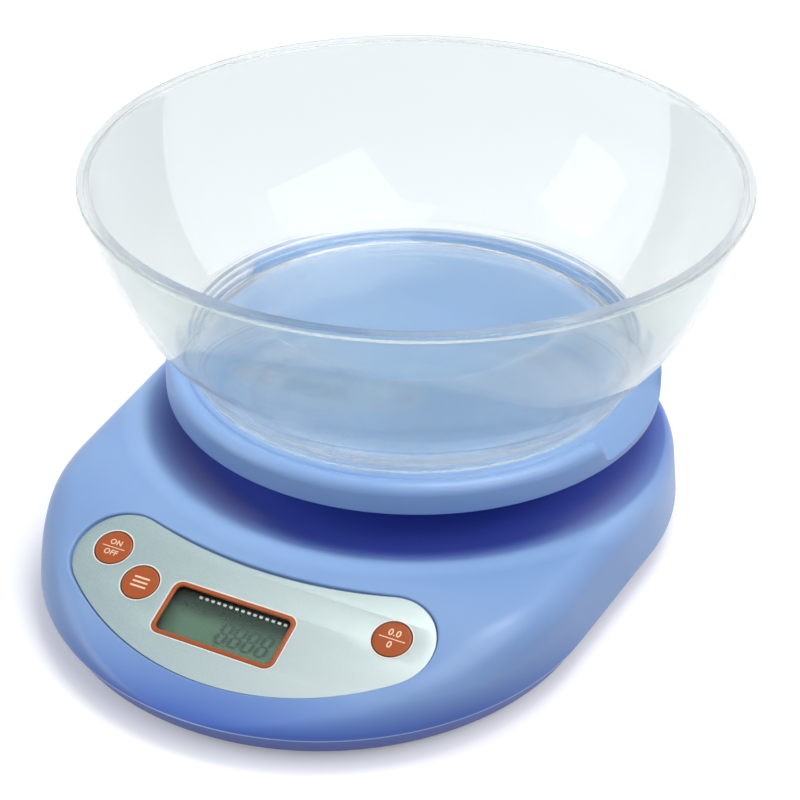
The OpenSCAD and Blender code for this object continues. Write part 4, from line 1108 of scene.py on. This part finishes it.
@dataclass
class ControlPanel:
    """Overlay, display and keys on the sloping front."""
    panel: Panel
    bodies: tuple = (Body.ON_OFF, Body.MODE, Body.TARE)
    print_out: float = 0.155
    line_out: float = 0.175
    ink_t: float = 0.04

    @staticmethod
    def curve_mesh(name: str, curve: bpy.types.Curve, place: Matrix) -> bpy.types.Mesh:
        """Mesh of a curve, moved to its place."""
        maker = bpy.data.objects.new(name + "_line", curve)
        mesh = bpy.data.meshes.new_from_object(maker)
        bpy.data.objects.remove(maker)
        mesh.name = name
        mesh.transform(place)
        return mesh

    def plate(self, name: str, lines: Sequence[np.ndarray], thick: float, edge: float, out: float,
              body: Body = Body.HOUSING) -> bpy.types.Object:
        """Flat plate on the panel with rounded edges, filled between closed lines.

        Args:
            name: Name of the piece.
            lines: Closed outlines in the panel's frame; one inside another is a hole.
            thick: Thickness, inwards from its upper face.
            edge: Radius of its edges.
            out: How far out of the panel its upper face lies.
            body: Body that it rides on.

        Returns:
            The object.
        """
        curve = bpy.data.curves.new(name, "CURVE")
        curve.dimensions, curve.fill_mode = "2D", "BOTH"
        curve.extrude = (thick / 2 - edge) * MM
        curve.bevel_depth, curve.bevel_resolution, curve.offset = edge * MM, 2, -edge * MM
        for line in lines:
            spline = curve.splines.new("POLY")
            spline.points.add(len(line) - 1)
            flat = np.zeros((len(line), 4))
            flat[:, :2], flat[:, 3] = line * MM, 1
            spline.points.foreach_set("co", flat.ravel())
            spline.use_cyclic_u = True
        mesh = self.curve_mesh(name, curve, self.panel.matrix(out=out - thick / 2))
        return settle(name, mesh, body, 35.0)

    def wording(self, name: str, text: str, size: float, x: float, v: float,
                body: Body) -> bpy.types.Object:
        """Raised print of plain words as a mesh, centred on x and v of the panel."""
        words = bpy.data.curves.new(name, "FONT")
        words.body, words.size = text, size * MM
        words.align_x, words.align_y = "CENTER", "CENTER"
        words.extrude, words.offset = 0.02 * MM, 0.05 * MM
        words.space_character = 1.08
        mesh = self.curve_mesh(name, words, self.panel.matrix(x, v, self.print_out))
        return settle(name, mesh, body, 30.0, outward=False)

    def build_overlay(self) -> None:
        """Silver sheet with openings for the display frame and the keys."""
        p = self.panel
        lines = [p.outline(), p.window(0.2, 3), *p.key_rings(0.3)]
        sheet = self.plate("overlay_sheet", lines, 0.6, 0.08, 0.0)
        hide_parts("panel_overlay")
        SILVER.dress(sheet, "silver_panel")

    def build_display(self) -> None:
        """Orange frame, clear window, display cell with its segments, the row of pale dots."""
        p = self.panel
        hole = -2 * p.band
        rim = self.plate("display_rim", [p.window(0, 3), p.window(hole, 2)], 0.95, 0.28, 0.35)
        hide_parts("display_frame")
        ORANGE.dress(rim, "orange_plastic")
        rings = [p.window(d, 3 + d / 2) for d in (1.1, 0.25)]
        rings += [ring for pair in zip(p.key_rings(0.75), p.key_rings(0.35)) for ring in pair]
        HALO_INK.dress(self.plate("panel_halos", rings, 0.03, 0.0, 0.1))
        lens = self.plate("display_window", [p.window(hole + 1, 2)], 1.0, 0.1, -0.6)
        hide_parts("display_lens")
        CLEAR_LENS.dress(lens, "clear_lens")
        self.build_segments()

    def build_segments(self) -> None:
        """Seven-segment figures and the dotted row, as thin six-sided and round plates."""
        x, v = self.panel.frame_x, self.panel.frame_v
        s, t, h, lean, size = 0.42, 1.2, 1.95, 0.16, 0.86
        bar = np.array([[-t - s, 0], [-t, s], [t, s], [t + s, 0], [t, -s], [-t, -s]])
        tall = bar[:, ::-1] * [1.7, 1.05]
        parts = [bar + [0, 2 * h], bar, bar - [0, 2 * h]]
        parts += [tall + [dx, dy] for dy in (h, -h) for dx in (-1.6, 1.6)]
        slanted = [np.stack([part[:, 0] + lean * part[:, 1], part[:, 1]], 1) for part in parts]
        lines = [part * size + [x + start - 1.6, v - 1.6] for start in (2.2, 6.6, 11.0, 15.4)
                 for part in slanted]
        SEGMENT_INK.dress(self.plate("display_figures", lines, self.ink_t, 0.0, -2.57))
        dots = [rounded_box(1.05, 0.78, 0.2, x - 11.5 + 2.0 * i, v + 6.9) for i in range(15)]
        DOT_INK.dress(self.plate("display_dots", dots, self.ink_t, 0.0, -2.0))

    def build_keys(self) -> None:
        """Three round key tops with a soft edge, and the print on them."""
        p = self.panel
        top, low, shelf = 0.15, -3.6, -2.8
        shape = soften([(0, low + 0.9, 0), (4.6, low + 0.9, 0), (4.6, low, 0), (6.5, low, 0.1),
                        (6.5, shelf, 0.1), (p.key_r, shelf, 0), (p.key_r, top, 0.35),
                        (4.0, top, 0), (0, top, 0)], 4)
        for body, (x, v) in zip(self.bodies, p.keys):
            cap = make_piece(body.value + "_cap", [lathe(shape, 72)], body, 35.0)
            cap.data.transform(p.matrix(x, v))
            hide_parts(body.value + "_key")
            ORANGE.dress(cap, "orange_plastic")
        self.print_keys()

    def line(self, name: str, boxes: Sequence[np.ndarray], body: Body) -> bpy.types.Object:
        """Thin printed lines on a key."""
        return self.plate(name, boxes, self.ink_t, 0.0, self.line_out, body)

    def print_keys(self) -> None:
        """Pale print: ON over OFF, three short bars, and a nought under a line."""
        (ox, ov), (mx, mv), (tx, tv) = self.panel.keys
        bars = [rounded_box(5.2, 0.6, 0.25, mx, mv + d) for d in (-1.5, 0.0, 1.5)]
        marks = [self.wording("on_print", "ON", 2.5, ox, ov + 1.75, Body.ON_OFF),
                 self.wording("off_print", "OFF", 2.5, ox, ov - 1.85, Body.ON_OFF),
                 self.line("on_off_line", [rounded_box(7.6, 0.28, 0.1, ox, ov)], Body.ON_OFF),
                 self.line("mode_bars", bars, Body.MODE),
                 self.wording("tare_print", "0.0", 3.0, tx, tv + 1.95, Body.TARE),
                 self.wording("zero_print", "0", 3.0, tx, tv - 2.0, Body.TARE),
                 self.line("tare_line", [rounded_box(8.2, 0.3, 0.1, tx, tv)], Body.TARE)]
        for mark in marks:
            MARK_INK.dress(mark)


@dataclass
class Underside:
    """Bottom cover, feet and battery door."""
    feet: tuple = ((-52, -106), (52, -106), (-63, 20), (63, 20))

    def build(self) -> None:
        """Welded copies of the moulded solids, and turned rubber feet."""
        BASE_BLUE.dress(cad_copy("bottom_cover", Body.HOUSING), "base_blue")
        BASE_BLUE.dress(cad_copy("battery_door", Body.DOOR), "base_blue")
        shape = soften([(0, 0.25, 0), (3.4, 0.25, 0.3), (3.9, 0, 0.3), (5.2, 0, 0.3),
                        (6.0, 0.8, 0.4), (6.0, 3.0, 0.2), (0, 3.0, 0)], 4)
        grids = [lathe(shape, 48, centre) for centre in self.feet]
        feet = make_piece("feet_rubber", grids, Body.HOUSING, 40.0)
        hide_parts("rubber_feet")
        RUBBER.dress(feet, "foot_rubber")


@dataclass
class Inside:
    """Finishes of the solids that stay as they are, and welded copies of the load cell beam and its
    potting.
    """
    finishes: tuple = (
        (STEEL, ("housing_screws", "board_screws", "base_spacer", "base_bolts",
                 "battery_contacts", "battery_springs", "carrier_spacer", "carrier_bolts")),
        (CONTACT_RUBBER, ("zebra_strips", "on_off_plunger", "mode_plunger", "tare_plunger")),
        (WHITE_PLASTIC, ("lcd_holder", "carrier")), (JACKET, ("cell_lead", "battery_leads")),
        (DISPLAY, ("lcd_glass",)), (BOARD_GREEN, ("main_board",)), (CHIP_DARK, ("board_parts",)),
        (SWITCH, ("tact_switches",)), (CELL_A, ("battery_a",)), (CELL_B, ("battery_b",)))

    def build(self) -> None:
        """Gives each solid its material; load cell and potting get welded copies with no body,
        their place baked in.
        """
        for finish, names in self.finishes:
            for name in names:
                finish.dress(NODES[name])
        for name, finish in (("load_cell", ALUMINIUM), ("gauge_potting", POTTING)):
            skin = cad_copy(name)
            finish.dress(skin)
            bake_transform(skin)


@dataclass
class Studio:
    """Pale floor, soft lamps, bright surroundings and the camera, all in metres."""
    eye: tuple = (0.23828, -0.49722, 0.38408)
    yaw: float = 0.45463
    pitch: float = 0.57084
    roll: float = 0.00909
    lens: float = 89.73
    world: float = 0.36
    target: tuple = (0.0, -0.02, 0.04)

    def build(self) -> None:
        """Makes floor, lamps, world and camera."""
        self.make_floor()
        self.make_world()
        self.make_lamp("key_lamp", (0.56, -0.16, 0.95), 0.9, 6.6, (1.0, 0.975, 0.94))
        self.make_lamp("top_lamp", (0.14, 0.24, 1.10), 0.45, 4.7, (1.0, 0.985, 0.96))
        self.make_lamp("fill_lamp", (-0.92, -0.62, 0.6), 0.6, 3.2, (1.0, 1.0, 1.0))
        self.make_camera()
        bpy.context.scene.view_settings.view_transform = "Standard"

    def make_floor(self) -> None:
        """Large pale floor that the camera sees near white, with the shadow kept."""
        side = 6.0
        mesh = bpy.data.meshes.new("floor")
        corners = [(-side, -side, 0), (side, -side, 0), (side, side, 0), (-side, side, 0)]
        mesh.from_pydata(corners, [], [(0, 1, 2, 3)])
        floor = add_object("floor", mesh)
        made = bpy.data.materials.new("floor_white")
        made.use_nodes = True
        w, nodes = Wiring(made.node_tree), made.node_tree.nodes
        shader = nodes["Principled BSDF"]
        w.feed(shader, {"Base Color": (0.80, 0.80, 0.81, 1), "Roughness": 0.9,
                        "Specular IOR Level": 0.1})
        far = w.add("VectorMath", {0: w.place()}, operation="LENGTH").outputs["Value"]
        strength = w.span(far, 0.3, 1.4, 0.27, 0.78)
        glow = w.add("Emission", {"Color": (1, 1, 1, 1), "Strength": strength})
        both = w.add("AddShader", {0: shader.outputs[0], 1: glow.outputs[0]})
        dull = w.add("BsdfDiffuse", {"Color": (0.42, 0.44, 0.52, 1)})
        pick = w.add("MixShader", {0: w.seen(), 1: dull.outputs[0], 2: both.outputs[0]})
        below = w.add("NewGeometry").outputs["Backfacing"]
        camera = w.add("LightPath").outputs["Is Camera Ray"]
        clear = w.add("BsdfTransparent").outputs[0]
        whole = w.add("MixShader", {0: w.math("MULTIPLY", below, camera), 1: pick.outputs[0],
                                    2: clear})
        w.feed(nodes["Material Output"], {"Surface": whole.outputs[0]})
        mesh.materials.append(made)

    def make_world(self) -> None:
        """Even surroundings that show as white and light the object at a plain level."""
        world = bpy.data.worlds.new("studio")
        world.use_nodes = True
        bpy.context.scene.world = world
        w = Wiring(world.node_tree)
        seen = w.seen()
        w.feed(world.node_tree.nodes["Background"], {
            "Color": w.mix(seen, (0.74, 0.82, 1.0, 1), (1, 1, 1, 1)),
            "Strength": w.span(seen, 0.0, 1.0, self.world, 1.0)})

    def make_lamp(self, name: str, where: tuple, size: float, power: float, tone: tuple) -> None:
        """Square area lamp that looks at the middle of the scale."""
        lamp = bpy.data.lights.new(name, "AREA")
        lamp.shape, lamp.size, lamp.energy, lamp.color = "SQUARE", size, power, tone
        holder = add_object(name, lamp)
        holder.location = where
        aim = Matrix.Translation(self.target).translation - holder.location
        holder.rotation_mode = "QUATERNION"
        holder.rotation_quaternion = aim.to_track_quat("-Z", "Y")

    def make_camera(self) -> None:
        """Camera at the photograph's place: yaw about Z, pitch down, then a slight roll."""
        a, e, r = self.yaw, self.pitch, self.roll
        back = np.array([math.sin(a) * math.cos(e), -math.cos(a) * math.cos(e), math.sin(e)])
        side = np.array([math.cos(a), math.sin(a), 0.0])
        up = np.cross(back, side)
        turned_side = math.cos(r) * side + math.sin(r) * up
        turned_up = -math.sin(r) * side + math.cos(r) * up
        data = bpy.data.cameras.new("photo_camera")
        data.lens, data.sensor_width = self.lens, 36.0
        camera = add_object("photo_camera", data)
        pose = Matrix(np.stack([turned_side, turned_up, back], 1).tolist()).to_4x4()
        camera.matrix_world = Matrix.Translation(self.eye) @ pose
        bpy.context.scene.camera = camera


def main() -> None:
    """Builds the studio and the parts of the scale in order and reports each."""
    panel = Panel()
    front = ControlPanel(panel)
    steps: Sequence[tuple] = (
        ("studio", Studio().build), ("top cover", TopCover(panel).build), ("tray", Tray().build),
        ("bowl", Bowl().build), ("overlay", front.build_overlay), ("display", front.build_display),
        ("keys", front.build_keys), ("underside", Underside().build), ("inside", Inside().build))
    for name, build in steps:
        build()
        LOG.info("%s made", name)


if __name__ == "__main__":
    logging.basicConfig(level=logging.INFO, format="%(name)s: %(message)s")
    main()
